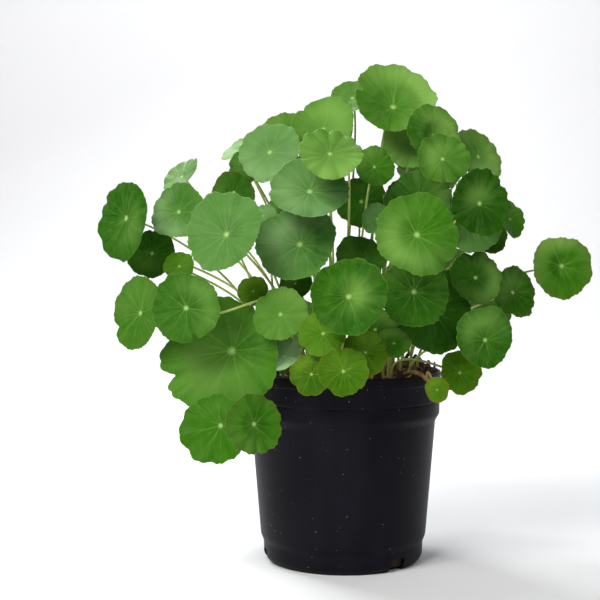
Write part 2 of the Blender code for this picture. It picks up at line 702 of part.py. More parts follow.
def make_leaf(blade, path):
    """One leaf with its stalk, as one grown piece."""
    bm = bmesh.new()
    bm.faces.new(grow_leaf(bm, blade, path))
    return add_object(blade.leaf.name, bm, finish(blade.leaf.name, TONES[blade.leaf.tone], 0.5))


def runner_path(runner, tree):
    """The runner's route in metres, lying on the potting mix where no height is given."""
    path = []
    for x, y, z in runner.route:
        if z is None:
            height = surface_under(tree, x * MM, y * MM, RUNNER_FOOTPRINT) + REST_GAP + RUNNER_HALF_WIDTH
        else:
            height = z * MM
        path.append((x * MM, y * MM, height + RUNNER_LIFT))
    return np.array(path)


def make_runner(runner, path, grown):
    """A creeping stem of square section, with its leaves' stalks drawn out of its top faces."""
    bm = bmesh.new()
    spans = np.diff(path, axis=0)
    spans /= np.linalg.norm(spans, axis=1)[:, None]
    rings = []
    for step, centre in enumerate(path):
        tangent = spans[max(step - 1, 0)] + spans[min(step, len(spans) - 1)]
        tangent /= np.linalg.norm(tangent)
        side = np.cross(tangent, (0.0, 0.0, 1.0))
        side /= np.linalg.norm(side)
        lift = np.cross(side, tangent)
        for along in (-RUNNER_HALF_WIDTH, RUNNER_HALF_WIDTH):
            corners = ((1, 1), (-1, 1), (-1, -1), (1, -1))
            spots = [
                centre + along * tangent + RUNNER_HALF_WIDTH * (right * side + up * lift)
                for right, up in corners
            ]
            rings.append([bm.verts.new(spot) for spot in spots])
    grown_by_point = {point: (blade, stalk) for point, blade, stalk in grown}
    for step, (near, far) in enumerate(zip(rings, rings[1:])):
        for corner in range(4):
            quad = [near[corner], near[(corner + 1) % 4], far[(corner + 1) % 4], far[corner]]
            if corner == 0 and step % 2 == 0 and step // 2 in grown_by_point:
                foot = grow_leaf(bm, *grown_by_point[step // 2])
                join_quad(bm, foot, quad)
            else:
                bm.faces.new(quad)
    bm.faces.new(rings[0])
    bm.faces.new(rings[-1])
    return add_object(runner.name, bm, finish(runner.name, RUNNER_COLOUR, 0.6))


def join_quad(bm, foot, quad):
    """Join a stalk's foot ring to four corners, in the turn that twists it least."""
    orders = [
        [way[(start + step) % 4] for step in range(4)] for way in (quad, quad[::-1]) for start in range(4)
    ]
    best = min(orders, key=lambda order: sum((a.co - b.co).length for a, b in zip(foot, order)))
    bridge(bm, foot, best)


def main():
    """Build the pot, the mix, the creeping stems and the single leaves."""
    for thing in list(bpy.data.objects):
        bpy.data.objects.remove(thing, do_unlink=True)
    make_pot()
    soil = make_soil()
    corners = [vertex.co for vertex in soil.data.vertices]
    tree = BVHTree.FromPolygons(corners, [face.vertices for face in soil.data.polygons])

    listed = list(LEAVES) + [leaf for runner in RUNNERS for _, leaf in runner.leaves]
    blades = [Blade(leaf, number) for number, leaf in enumerate(listed)]
    by_name = {blade.leaf.name: blade for blade in blades}
    settle(blades)

    runner_paths = {runner.name: runner_path(runner, tree) for runner in RUNNERS}
    stalks = []
    lost = []
    for runner in RUNNERS:
        path = runner_paths[runner.name]
        others = [dense_runner(other) for other in runner_paths.values() if other is not path]
        grown = []
        for point, leaf in runner.leaves:
            blade = by_name[leaf.name]
            foot = path[point] + np.array((0.0, 0.0, RUNNER_HALF_WIDTH + RUNNER_SHOOT_LIFT))
            stalk = find_stalk(blade, blades, [foot], np.concatenate(others + stalks))
            if stalk is None:
                lost.append(leaf.name)
                continue
            grown.append((point, blade, stalk))
            stalks.append(dense(stalk, STALK_STEPS))
        make_runner(runner, path, grown)

    spots = foot_spots(tree)
    for leaf in LEAVES:
        blade = by_name[leaf.name]
        taken = np.concatenate([dense_runner(path) for path in runner_paths.values()] + stalks)
        stalk = find_stalk(blade, blades, feet_for(blade, spots), taken)
        if stalk is None:
            lost.append(leaf.name)
            continue
        make_leaf(blade, stalk)
        stalks.append(dense(stalk, STALK_STEPS))
    if lost:
        raise RuntimeError(f"no clear way for the stalks of {', '.join(lost)}")


main()
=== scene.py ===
"""Looks of a potted pennywort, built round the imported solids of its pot, mix, stems and leaves.

Every blade, stalk and creeping stem is read from its solid, so each fine piece lies where its solid
does. Lengths are metres, and a leaf's angles run from the viewer's right round its face.
"""

import json
import logging
import math
from collections.abc import Mapping, Sequence
from dataclasses import dataclass, field, replace
from enum import Enum
from typing import Any, NamedTuple

import bmesh
import bpy
import numpy as np
from mathutils import Matrix, Vector, noise
from mathutils.bvhtree import BVHTree


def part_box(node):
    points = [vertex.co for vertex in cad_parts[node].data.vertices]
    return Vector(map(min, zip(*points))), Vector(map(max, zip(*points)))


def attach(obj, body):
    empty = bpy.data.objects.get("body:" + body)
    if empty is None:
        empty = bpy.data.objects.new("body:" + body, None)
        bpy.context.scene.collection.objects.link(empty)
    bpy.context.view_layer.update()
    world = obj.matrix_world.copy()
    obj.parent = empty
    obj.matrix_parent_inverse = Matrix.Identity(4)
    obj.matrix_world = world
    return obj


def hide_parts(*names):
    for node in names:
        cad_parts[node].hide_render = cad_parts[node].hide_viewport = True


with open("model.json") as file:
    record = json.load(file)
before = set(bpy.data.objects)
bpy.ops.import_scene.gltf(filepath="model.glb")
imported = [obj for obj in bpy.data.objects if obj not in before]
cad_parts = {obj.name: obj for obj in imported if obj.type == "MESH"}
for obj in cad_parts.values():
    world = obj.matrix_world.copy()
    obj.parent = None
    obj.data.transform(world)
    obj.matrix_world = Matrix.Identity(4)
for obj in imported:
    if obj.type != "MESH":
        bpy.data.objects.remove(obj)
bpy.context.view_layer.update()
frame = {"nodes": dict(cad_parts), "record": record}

MM = 0.001
BODY = "root"
UP = np.array((0.0, 0.0, 1.0))
LOG = logging.getLogger("pennywort")

Colour = tuple[float, float, float]
Spot = tuple[float, float, float]
Array = np.ndarray


class Level:
    """A number that varies over a surface, on which arithmetic adds Math nodes."""

    def __init__(self, paint: "Paint", socket: bpy.types.NodeSocket) -> None:
        """Keep the socket and the paint that it belongs to."""
        self.paint = paint
        self.socket = socket

    def __add__(self, other: "Level | float") -> "Level":
        """This number plus another."""
        return self.paint.math("ADD", self, other)

    def __radd__(self, other: float) -> "Level":
        """A plain number plus this one."""
        return self.paint.math("ADD", other, self)

    def __sub__(self, other: "Level | float") -> "Level":
        """This number less another."""
        return self.paint.math("SUBTRACT", self, other)

    def __rsub__(self, other: float) -> "Level":
        """A plain number less this one."""
        return self.paint.math("SUBTRACT", other, self)

    def __mul__(self, other: "Level | float") -> "Level":
        """This number times another."""
        return self.paint.math("MULTIPLY", self, other)

    def __rmul__(self, other: float) -> "Level":
        """A plain number times this one."""
        return self.paint.math("MULTIPLY", other, self)

    def __truediv__(self, other: "Level | float") -> "Level":
        """This number over another."""
        return self.paint.math("DIVIDE", self, other)

    def __rtruediv__(self, other: float) -> "Level":
        """A plain number over this one."""
        return self.paint.math("DIVIDE", other, self)

    def __abs__(self) -> "Level":
        """This number without its sign."""
        return self.paint.math("ABSOLUTE", self)

    def step(self, low: float, high: float) -> "Level":
        """How far this number has gone between two others, eased.

        Args:
            low: Where it counts as 0.
            high: Where it counts as 1.

        Returns:
            A number from 0 to 1.
        """
        inputs = {"Value": self, "From Min": low, "From Max": high}
        node = self.paint.add("ShaderNodeMapRange", {"interpolation_type": "SMOOTHSTEP"}, inputs)
        return Level(self.paint, node.outputs["Result"])


class Paint:
    """A material being mixed."""

    def __init__(self, name: str) -> None:
        """Start a material with its plain shader.

        Args:
            name: The material's name.
        """
        self.material = bpy.data.materials.new(name)
        self.material.use_nodes = True
        self.tree = self.material.node_tree
        self.shader = self.tree.nodes["Principled BSDF"]

    def add(
        self,
        kind: str,
        settings: Mapping[str, Any] | None = None,
        inputs: Mapping[str | int, Any] | None = None,
    ) -> bpy.types.Node:
        """Add a node of any type.

        Args:
            kind: The node's type.
            settings: Its properties, which are set first. A ramp's "stops" are (place, colour) pairs.
            inputs: A value or a link for each socket, by name or number.

        Returns:
            The new node.
        """
        node = self.tree.nodes.new(kind)
        for key, value in (settings or {}).items():
            if key == "stops":
                self._set_stops(node.color_ramp.elements, value)
            else:
                setattr(node, key, value)
        for key, value in (inputs or {}).items():
            self._feed(node.inputs[key], value)
        return node

    def _feed(self, socket: bpy.types.NodeSocket, value: Any) -> None:
        """Link a socket, or set it.

        Args:
            socket: The socket.
            value: A link, a level, a number, or a colour without its alpha.
        """
        source = getattr(value, "socket", value)
        if isinstance(source, bpy.types.NodeSocket):
            self.tree.links.new(source, socket)
        else:
            socket.default_value = (*source, 1.0) if socket.type == "RGBA" else source

    def _set_stops(self, elements: Any, stops: Sequence[tuple[float, Colour]]) -> None:
        """Give a ramp its stops.

        Args:
            elements: The ramp's stops, two to begin with.
            stops: Place and colour of each stop wanted.
        """
        while len(elements) < len(stops):
            elements.new(1.0)
        for element, (place, colour) in zip(elements, stops):
            element.position = place
            element.color = (*colour, 1.0)

    def math(self, operation: str, *values: Level | float) -> Level:
        """A Math node's result."""
        node = self.add("ShaderNodeMath", {"operation": operation}, dict(enumerate(values)))
        return Level(self, node.outputs[0])

    def mix(self, share: Level | float, first: Any, second: Any) -> bpy.types.NodeSocket:
        """The colour that lies a share of the way from the first to the second."""
        node = self.add("ShaderNodeMix", {"data_type": "RGBA"}, {0: share, 6: first, 7: second})
        return node.outputs[2]

    def ramp(self, level: Level, *stops: tuple[float, Colour]) -> bpy.types.NodeSocket:
        """The colour that a ramp gives for a number."""
        return self.add("ShaderNodeValToRGB", {"stops": stops}, {"Fac": level}).outputs["Color"]

    def place(self) -> bpy.types.NodeSocket:
        """The spot on the object, in metres."""
        return self.add("ShaderNodeTexCoord").outputs["Object"]

    def noise(self, scale: float, detail: float = 2.0, spot: Any = None, rough: float = 0.5) -> Level:
        """Smooth noise from 0 to 1, with so many lumps a metre."""
        inputs = {"Vector": spot or self.place(), "Scale": scale, "Detail": detail, "Roughness": rough}
        return Level(self, self.add("ShaderNodeTexNoise", inputs=inputs).outputs["Fac"])

    def cells(self, scale: float, feature: str = "F1") -> Level:
        """Distance to the middle, or to the border, of cells of so many a metre."""
        inputs = {"Vector": self.place(), "Scale": scale}
        return Level(self, self.add("ShaderNodeTexVoronoi", {"feature": feature}, inputs).outputs[0])

    def vector(self, operation: str, *values: Any) -> bpy.types.Node:
        """A Vector Math node."""
        return self.add("ShaderNodeVectorMath", {"operation": operation}, dict(enumerate(values)))

    def coordinate(self, vector: Any, axis: str) -> Level:
        """A vector's length along X, Y or Z."""
        return Level(self, self.add("ShaderNodeSeparateXYZ", inputs={0: vector}).outputs[axis])

    def painted(self, name: str) -> Level:
        """A number that is stored on the mesh."""
        return Level(self, self.add("ShaderNodeAttribute", {"attribute_name": name}).outputs["Fac"])

    def relief(self, height: Level, depth: float, strength: float = 1.0) -> bpy.types.NodeSocket:
        """The normal of a surface with a fine relief so deep."""
        inputs = {"Height": height, "Distance": depth, "Strength": strength}
        return self.add("ShaderNodeBump", inputs=inputs).outputs["Normal"]

    def finish(self, **sockets: Any) -> bpy.types.Material:
        """Set the shader's sockets and hand over the material.

        Args:
            sockets: A value or link for each socket, with _ for a space in its name.

        Returns:
            The finished material.
        """
        for key, value in sockets.items():
            self._feed(self.shader.inputs[key.replace("_", " ").title().replace("Ior", "IOR")], value)
        return self.material


@dataclass(frozen=True)
class BladeFinish:
    """A blade's tone: waxy green between pale veins, with a pale eye and a paler underside, and painted
    shade and a painted sheen laid over the green from numbers on the mesh.
    """

    name: str
    body: Colour
    # dark also takes the painted shade, and pale the painted sheen and painted highlight.
    dark: Colour
    pale: Colour
    vein: Colour
    rim: Colour
    eye: Colour = (0.33, 0.53, 0.15)
    under: Colour = (0.090, 0.200, 0.038)
    blush: Colour = (0.26, 0.095, 0.015)
    gloss: float = 0.40
    specular: float = 0.14
    specular_tint: Colour = (0.50, 1.0, 0.28)
    vein_edge: tuple[float, float] = (0.003, 0.013)
    twig_edge: tuple[float, float] = (0.002, 0.011)
    fork_start: float = 0.36
    twig_start: float = 0.68
    star_share: float = 0.42
    rim_share: float = 0.45
    cloud_scale: float = 48.0
    mottle_scale: float = 260.0
    ray_scale: float = 5.5
    edge_scale: float = 420.0
    net_scale: float = 900.0
    grain_scale: float = 2400.0
    relief_depth: float = 0.30 * MM
    relief_strength: float = 0.5

    def veins(self, paint: Paint, reach: Level, turn: Level, lobes: Level) -> Level:
        """The forking veins, one to a lobe.

        Args:
            paint: The material being mixed.
            reach: Distance from the eye, 1 at the margin.
            turn: Angle round the eye, counted in lobes.
            lobes: The number of lobes.

        Returns:
            A mask that is 1 on a vein.
        """
        wander = (paint.noise(150.0, 1.0) - 0.5) * 0.16
        aside = paint.math("PINGPONG", turn + wander, 0.5)
        width = reach * math.tau / lobes
        main = 1.0 - (aside * width).step(*self.vein_edge)
        from_fork = abs(aside - (reach - self.fork_start) * 0.44)
        from_twig = abs(from_fork - (reach - self.twig_start) * 0.34)
        forks = 1.0 - (from_fork * width).step(*self.vein_edge)
        twigs = 1.0 - (from_twig * width).step(*self.twig_edge)
        main = main * (1.0 - reach.step(0.35, 1.0) * 0.55)
        forks = forks * reach.step(self.fork_start - 0.02, self.fork_start + 0.06) * 0.62
        twigs = twigs * reach.step(self.twig_start - 0.02, self.twig_start + 0.06) * 0.45
        return paint.math("MAXIMUM", paint.math("MAXIMUM", main, forks), twigs)

    def mixed(self) -> bpy.types.Material:
        """Mix the blade's material.

        Returns:
            The material.
        """
        paint = Paint(f"{self.name}_blade")
        disc = paint.add("ShaderNodeAttribute", {"attribute_name": "disc"}).outputs["Vector"]
        reach = Level(paint, paint.vector("LENGTH", disc).outputs["Value"])
        angle = paint.math("ARCTAN2", paint.coordinate(disc, "Y"), paint.coordinate(disc, "X"))
        lobes = paint.painted("lobes")
        veins = self.veins(paint, reach, angle / math.tau * lobes, lobes)

        side = paint.painted("topside")
        shade = paint.painted("shade")
        sheen = paint.painted("sheen")
        cloud = paint.noise(self.cloud_scale, 3.0)
        mottle = paint.noise(self.mottle_scale, 4.0)
        heading = paint.vector("NORMALIZE", disc).outputs["Vector"]
        own = paint.add("ShaderNodeCombineXYZ", inputs={"Z": paint.painted("seed") + reach * 0.15})
        around = paint.vector("ADD", heading, own.outputs["Vector"]).outputs["Vector"]
        rays = paint.noise(self.ray_scale, 2.0, around)
        star = rays.step(0.50, 0.72) * (1.0 - reach.step(0.08, 0.50)) * side

        # Painted shade: the shade number mixes in the dark green; it holds the leaf's own darker tone and
        # painted shade.
        green = paint.mix(shade + (cloud - 0.5) * 0.9, self.body, self.dark)
        # Painted sheen: the sheen number, with its glare patch, mixes in the pale green as a painted
        # highlight.
        green = paint.mix(sheen + (cloud - 0.5) * 0.30 + (rays - 0.5) * 0.5 * reach, green, self.pale)
        green = paint.mix((mottle - 0.35) * 0.30, green, self.pale)
        green = paint.mix(veins * (0.08 + 0.26 * (1.0 - reach)), green, self.vein)
        green = paint.mix(star * self.star_share, green, self.vein)
        edge = reach + (paint.noise(self.edge_scale, 1.0) - 0.5) * 0.04
        green = paint.mix(edge.step(0.965, 1.0) * self.rim_share, green, self.rim)
        green = paint.mix(edge.step(0.78, 1.0) * paint.painted("blush"), green, self.blush)
        green = paint.mix(1.0 - reach.step(0.005, 0.105), green, self.eye)
        under = paint.mix(veins * 0.30, self.under, self.vein)
        colour = paint.mix(side, under, green)

        net = paint.cells(self.net_scale, "DISTANCE_TO_EDGE").step(0.0, 0.16)
        grain = paint.noise(self.grain_scale, 2.0)
        groove = (veins * 0.55 + star * 0.25) * reach.step(0.08, 0.20)
        height = net * 0.20 + grain * 0.15 - groove + mottle * 0.5
        return paint.finish(
            base_color=colour,
            roughness=self.gloss + mottle * 0.16 + (1.0 - side) * 0.16,
            normal=paint.relief(height, self.relief_depth, self.relief_strength),
            specular_ior_level=self.specular,
            specular_tint=self.specular_tint,
        )


@dataclass(frozen=True)
class StalkFinish:
    """A stalk's skin: green under the blade, redder towards its foot."""

    name: str = "stalk"
    top: Colour = (0.42, 0.58, 0.120)
    middle: Colour = (0.44, 0.56, 0.120)
    foot: Colour = (0.32, 0.35, 0.080)
    flush: Colour = (0.17, 0.060, 0.030)
    patch_scale: float = 180.0
    line_scale: float = 3000.0
    relief_depth: float = 0.12 * MM
    relief_strength: float = 0.5

    def mixed(self) -> bpy.types.Material:
        """Mix the stalk's material.

        Returns:
            The material.
        """
        paint = Paint(self.name)
        along = paint.painted("along")
        patches = paint.noise(self.patch_scale, 3.0)
        height = along + (patches - 0.5) * 0.2
        skin = paint.ramp(height, (0.0, self.foot), (0.35, self.middle), (1.0, self.top))
        skin = paint.mix(paint.painted("blush") * (0.4 + patches * 0.6), skin, self.flush)
        lines = paint.noise(self.line_scale, 2.0)
        return paint.finish(
            base_color=paint.mix(lines * 0.25, skin, self.middle),
            roughness=0.36 + patches * 0.14,
            normal=paint.relief(lines + patches * 2.0, self.relief_depth, self.relief_strength),
        )


@dataclass(frozen=True)
class StemFinish:
    """A creeping stem's skin: red-brown, with green where the light reaches it."""

    name: str = "creeping_stem"
    bark: Colour = (0.13, 0.045, 0.022)
    dark: Colour = (0.040, 0.017, 0.009)
    fresh: Colour = (0.28, 0.16, 0.040)
    patch_scale: float = 120.0
    line_scale: float = 1500.0
    relief_depth: float = 0.25 * MM
    relief_strength: float = 0.7

    def mixed(self) -> bpy.types.Material:
        """Mix the stem's material.

        Returns:
            The material.
        """
        paint = Paint(self.name)
        patches = paint.noise(self.patch_scale, 4.0)
        lines = paint.noise(self.line_scale, 3.0)
        skin = paint.mix(patches.step(0.35, 0.65), self.bark, self.fresh)
        skin = paint.mix(lines.step(0.45, 0.75) * 0.7, skin, self.dark)
        return paint.finish(
            base_color=skin,
            roughness=0.42 + lines * 0.25,
            normal=paint.relief(lines + patches, self.relief_depth, self.relief_strength),
        )


@dataclass(frozen=True)
class MixFinish:
    """Potting mix: red-brown coir and peat, with pale grains and a little perlite."""

    name: str = "potting_mix_grains"
    peat: Colour = (0.020, 0.009, 0.006)
    coir: Colour = (0.115, 0.042, 0.024)
    rust: Colour = (0.230, 0.092, 0.050)
    straw: Colour = (0.42, 0.24, 0.14)
    perlite: Colour = (0.74, 0.72, 0.70)
    ground_scale: float = 420.0
    crumb_scale: float = 650.0
    speckle_scale: float = 1800.0
    grit_scale: float = 2600.0
    relief_depth: float = 0.5 * MM
    relief_strength: float = 0.9

    def mixed(self) -> bpy.types.Material:
        """Mix the potting mix's material.

        Returns:
            The material.
        """
        paint = Paint(self.name)
        grain = paint.painted("grain")
        ground = paint.noise(self.ground_scale, 4.0, rough=0.65)
        crumbs = paint.cells(self.crumb_scale)
        bed = paint.ramp(ground, (0.30, self.peat), (0.52, self.coir), (0.72, self.rust))
        loose = paint.ramp(
            grain,
            (0.10, self.peat),
            (0.45, self.coir),
            (0.80, self.rust),
            (0.955, self.straw),
            (0.975, self.perlite),
        )
        colour = paint.mix(grain.step(0.001, 0.01), bed, loose)
        colour = paint.mix(paint.noise(self.speckle_scale, 2.0) * 0.45, colour, self.peat)
        height = ground * 1.5 + crumbs + paint.noise(self.grit_scale, 2.0) * 0.6
        # Painted shade: the mix turns to peat colour below 10 cm height, fully below 2 cm, where it lies in
        # the pot's shade and shows through the drainage notches.
        depth = 1.0 - paint.coordinate(paint.place(), "Z").step(0.02, 0.10)
        colour = paint.mix(depth, colour, self.peat)
        return paint.finish(
            base_color=colour,
            roughness=0.82 + ground * 0.15,
            normal=paint.relief(height, self.relief_depth, self.relief_strength),
        )


@dataclass(frozen=True)
class PotFinish:
    """Black nursery plastic: satin, with a fine grain, faint scuffs, and specks of dust."""

    name: str = "pot_plastic"
    black: Colour = (0.0048, 0.0046, 0.0075)
    worn: Colour = (0.011, 0.0105, 0.016)
    dust: Colour = (0.45, 0.43, 0.40)
    specular: float = 0.07
    streak_scale: float = 60.0
    cloud_scale: float = 18.0
    grain_scale: float = 2200.0
    scuff_scale: float = 240.0
    speck_scale: float = 950.0
    relief_depth: float = 0.12 * MM
    relief_strength: float = 0.5

    def mixed(self) -> bpy.types.Material:
        """Mix the pot's material.

        Returns:
            The material.
        """
        paint = Paint(self.name)
        spot = paint.place()
        drawn_out = paint.add("ShaderNodeMapping", inputs={"Vector": spot, "Scale": (1.0, 1.0, 0.06)})
        streaks = paint.noise(self.streak_scale, 3.0, drawn_out.outputs["Vector"])
        cloud = paint.noise(self.cloud_scale, 3.0)
        grain = paint.noise(self.grain_scale, 2.0)
        scuffs = paint.noise(self.scuff_scale, 5.0, rough=0.7).step(0.60, 0.78)
        specks = paint.noise(self.speck_scale, 0.0).step(0.868, 0.885)
        pale = streaks.step(0.35, 0.75) * 0.30 + cloud.step(0.4, 0.7) * 0.25 + scuffs * 0.22
        colour = paint.mix(pale, self.black, self.worn)
        height = grain * 0.6 + cloud + scuffs * 0.3
        return paint.finish(
            base_color=paint.mix(specks * 0.8, colour, self.dust),
            roughness=0.38 + cloud * 0.12 + scuffs * 0.12 + specks * 0.3,
            normal=paint.relief(height, self.relief_depth, self.relief_strength),
            specular_ior_level=self.specular,
        )


@dataclass(frozen=True)
class FloorFinish:
    """Pale matte paper for the studio floor and backdrop."""

    name: str = "studio_paper"
    paper: Colour = (0.78, 0.78, 0.79)
    shade: Colour = (0.74, 0.74, 0.75)

    def mixed(self) -> bpy.types.Material:
        """Mix the floor's material.

        Returns:
            The material.
        """
        paint = Paint(self.name)
        colour = paint.mix(paint.noise(2.0, 1.0), self.paper, self.shade)
        return paint.finish(base_color=colour, roughness=0.9)


class Tone(Enum):
    """The greens of the leaves."""

    BRIGHT = BladeFinish(
        name="bright",
        body=(0.033, 0.142, 0.0022),
        dark=(0.012, 0.078, 0.0010),
        pale=(0.165, 0.325, 0.060),
        vein=(0.190, 0.350, 0.075),
        rim=(0.130, 0.260, 0.045),
    )
    DEEP = BladeFinish(
        name="deep",
        body=(0.021, 0.104, 0.0018),
        dark=(0.008, 0.052, 0.0010),
        pale=(0.120, 0.255, 0.042),
        vein=(0.120, 0.260, 0.045),
        rim=(0.090, 0.205, 0.028),
        gloss=0.36,
    )
    # PALE's bluish pale green is partly a painted reflection of the bright surroundings on leaves that face
    # up.
    PALE = BladeFinish(
        name="pale",
        body=(0.066, 0.188, 0.024),
        dark=(0.026, 0.110, 0.006),
        pale=(0.195, 0.345, 0.130),
        vein=(0.230, 0.390, 0.140),
        rim=(0.180, 0.320, 0.095),
        gloss=0.42,
    )
    YOUNG = BladeFinish(
        name="young",
        body=(0.048, 0.152, 0.0016),
        dark=(0.024, 0.088, 0.0008),
        pale=(0.190, 0.350, 0.030),
        vein=(0.230, 0.400, 0.050),
        rim=(0.210, 0.260, 0.018),
    )


SLOT_TONES = {
    "leaf_bright": Tone.BRIGHT,
    "leaf_deep": Tone.DEEP,
    "leaf_pale": Tone.PALE,
    "young_growth": Tone.YOUNG,
}


@dataclass
class Draft:
    """A mesh being put together: points, faces, and the numbers painted on them."""

    points: list[Array] = field(default_factory=list)
    faces: list[list[int]] = field(default_factory=list)
    dresses: list[int] = field(default_factory=list)
    paints: dict[str, list[tuple[int, Array]]] = field(default_factory=dict)
    discs: list[tuple[int, Array]] = field(default_factory=list)
    count: int = 0

    def add(
        self, points: Array, faces: Sequence[Sequence[int]], dress: int, **paints: Array | float
    ) -> None:
        """Add a shell.

        Args:
            points: Its points, one a row.
            faces: Its faces, by row of points.
            dress: The number of its material.
            paints: For each painted number, one value or one a point. disc has three columns.
        """
        start = self.count
        self.points.append(points)
        self.count += len(points)
        self.faces.extend([start + corner for corner in face] for face in faces)
        self.dresses.extend([dress] * len(faces))
        for name, values in paints.items():
            if name == "disc":
                self.discs.append((start, values))
            else:
                self.paints.setdefault(name, []).append((start, np.broadcast_to(values, len(points))))

    def made(self, name: str, materials: Sequence[bpy.types.Material]) -> bpy.types.Object:
        """Turn the draft into an object of the scene.

        Args:
            name: The object's name.
            materials: Its materials, in the order that the shells count them.

        Returns:
            The smooth-shaded object.
        """
        mesh = bpy.data.meshes.new(name)
        mesh.from_pydata(np.concatenate(self.points).tolist(), [], self.faces)
        for paint, runs in self.paints.items():
            values = np.zeros(self.count, dtype=np.float32)
            for start, run in runs:
                values[start : start + len(run)] = run
            mesh.attributes.new(paint, "FLOAT", "POINT").data.foreach_set("value", values)
        if self.discs:
            values = np.zeros((self.count, 3), dtype=np.float32)
            for start, run in self.discs:
                values[start : start + len(run)] = run
            mesh.attributes.new("disc", "FLOAT_VECTOR", "POINT").data.foreach_set("vector", values.ravel())
        for material in materials:
            mesh.materials.append(material)
        mesh.polygons.foreach_set("material_index", self.dresses)
        mesh.shade_smooth()
        mesh.validate()
        thing = bpy.data.objects.new(name, mesh)
        bpy.context.scene.collection.objects.link(thing)
        return thing


def grid_faces(rings: int, count: int, flip: bool = False) -> list[tuple[int, ...]]:
    """Quads between closed rings of as many points.

    Args:
        rings: How many rings there are.
        count: Points in each ring.
        flip: Turn the faces over.

    Returns:
        The faces.
    """
    faces = []
    for ring in range(rings - 1):
        for step in range(count):
            after = (step + 1) % count
            low = ring * count
            high = low + count
            face = (low + step, low + after, high + after, high + step)
            faces.append(face[::-1] if flip else face)
    return faces


def fan_faces(tip: int, first: int, count: int, flip: bool = False) -> list[tuple[int, ...]]:
    """Triangles from a point to a closed ring.

    Args:
        tip: The point's number.
        first: The ring's first point.
        count: Points in the ring.
        flip: Turn the faces over.

    Returns:
        The faces.
    """
    faces = [(tip, first + step, first + (step + 1) % count) for step in range(count)]
    return [face[::-1] for face in faces] if flip else faces


def closed_faces(rings: int, count: int, inside_out: bool = False) -> list[tuple[int, ...]]:
    """Faces of a closed shell: its rings, and a fan to a point past the first and the last.

    Args:
        rings: How many rings there are.
        count: Points in each ring.
        inside_out: Whether the rings run inwards from the shell's other side.

    Returns:
        The faces, where the two points come after the rings.
    """
    faces = grid_faces(rings, count, flip=inside_out)
    faces += fan_faces(rings * count, 0, count, flip=not inside_out)
    return faces + fan_faces(rings * count + 1, (rings - 1) * count, count, flip=inside_out)


@dataclass(frozen=True)
class Wave:
    """A smooth value round a circle, through given samples."""

    weights: Array
    ORDER = 6

    @staticmethod
    def terms(angles: Array) -> Array:
        """The waves at some angles.

        Args:
            angles: The angles.

        Returns:
            One column for each wave.
        """
        columns = [np.ones_like(angles)]
        for count in range(1, Wave.ORDER + 1):
            columns += [np.cos(count * angles), np.sin(count * angles)]
        return np.stack(columns, axis=-1)

    @classmethod
    def through(cls, angles: Array, values: Array) -> "Wave":
        """The wave that passes the samples."""
        return cls(np.linalg.lstsq(cls.terms(angles), values, rcond=None)[0])

    def at(self, angles: Array) -> Array:
        """Its values at some angles."""
        return self.terms(angles) @ self.weights


class Notch(NamedTuple):
    """A deeper cut in the margin: its side in degrees and its depth in radii."""

    side: float
    depth: float


class Patch(NamedTuple):
    """A soft patch of painted shade or painted highlight on a blade: its side in degrees, how far out it
    is, and its strength.
    """

    side: float
    reach: float
    strength: float


@dataclass(frozen=True)
class LeafForm:
    """What sets one leaf apart from the next.

    Sides are angles in degrees round the face. scallop, crenation, pleat, wave, collar, dimple and
    curl are shares of the blade's radius. ring is a crescent of painted shade and glare a patch of
    painted highlight.
    """

    tone: Tone = Tone.BRIGHT
    lobes: int = 12
    scallop: float = 0.045
    crenation: float = 0.012
    pleat: float = 0.008
    wave: float = 0.018
    collar: float = 0.0
    collar_side: float = 0.0
    dimple: float = 0.020
    curl: float = 0.015
    cleft: Notch = Notch(0.0, 0.0)
    ring: Patch = Patch(0.0, 0.3, 0.0)
    glare: Patch = Patch(90.0, 0.6, 0.0)
    # shade mixes in the dark green: the leaf's own darker tone, and painted shade where the leaf lies in
    # shadow.
    shade: float = 0.3
    # sheen mixes in the pale green as a painted sheen.
    sheen: float = 0.0
    blush: float = 0.0
    red_stalk: float = 0.2

    @classmethod
    def drawn(cls, tone: Tone, radius: float, chance: np.random.Generator) -> "LeafForm":
        """A form for a leaf with nothing particular about it.

        Args:
            tone: Its green.
            radius: The blade's radius.
            chance: Where the draws come from.

        Returns:
            The form.
        """
        return cls(
            tone=tone,
            lobes=int(np.clip(round(7.5 + radius / MM * 0.19 + chance.uniform(-1.0, 1.0)), 8, 14)),
            scallop=chance.uniform(0.030, 0.060),
            crenation=chance.uniform(0.016, 0.030),
            pleat=chance.uniform(0.003, 0.012),
            wave=chance.uniform(0.010, 0.026),
            collar=chance.uniform(0.0, 0.035),
            collar_side=chance.uniform(0.0, 360.0),
            dimple=chance.uniform(0.012, 0.030),
            curl=chance.uniform(0.0, 0.03),
            cleft=Notch(chance.uniform(0.0, 360.0), chance.uniform(0.0, 0.08)),
            # ring is a drawn crescent of painted shade, glare a drawn patch of painted highlight.
            ring=Patch(chance.uniform(0.0, 360.0), chance.uniform(0.2, 0.45), chance.uniform(0.0, 0.5)),
            glare=Patch(chance.uniform(45.0, 200.0), chance.uniform(0.4, 0.8), chance.uniform(0.0, 0.6)),
            shade=chance.uniform(0.0, 0.6),
            sheen=chance.uniform(0.0, 0.20),
            blush=max(0.0, chance.uniform(-0.6, 0.2)),
            red_stalk=chance.uniform(0.0, 0.3),
        )
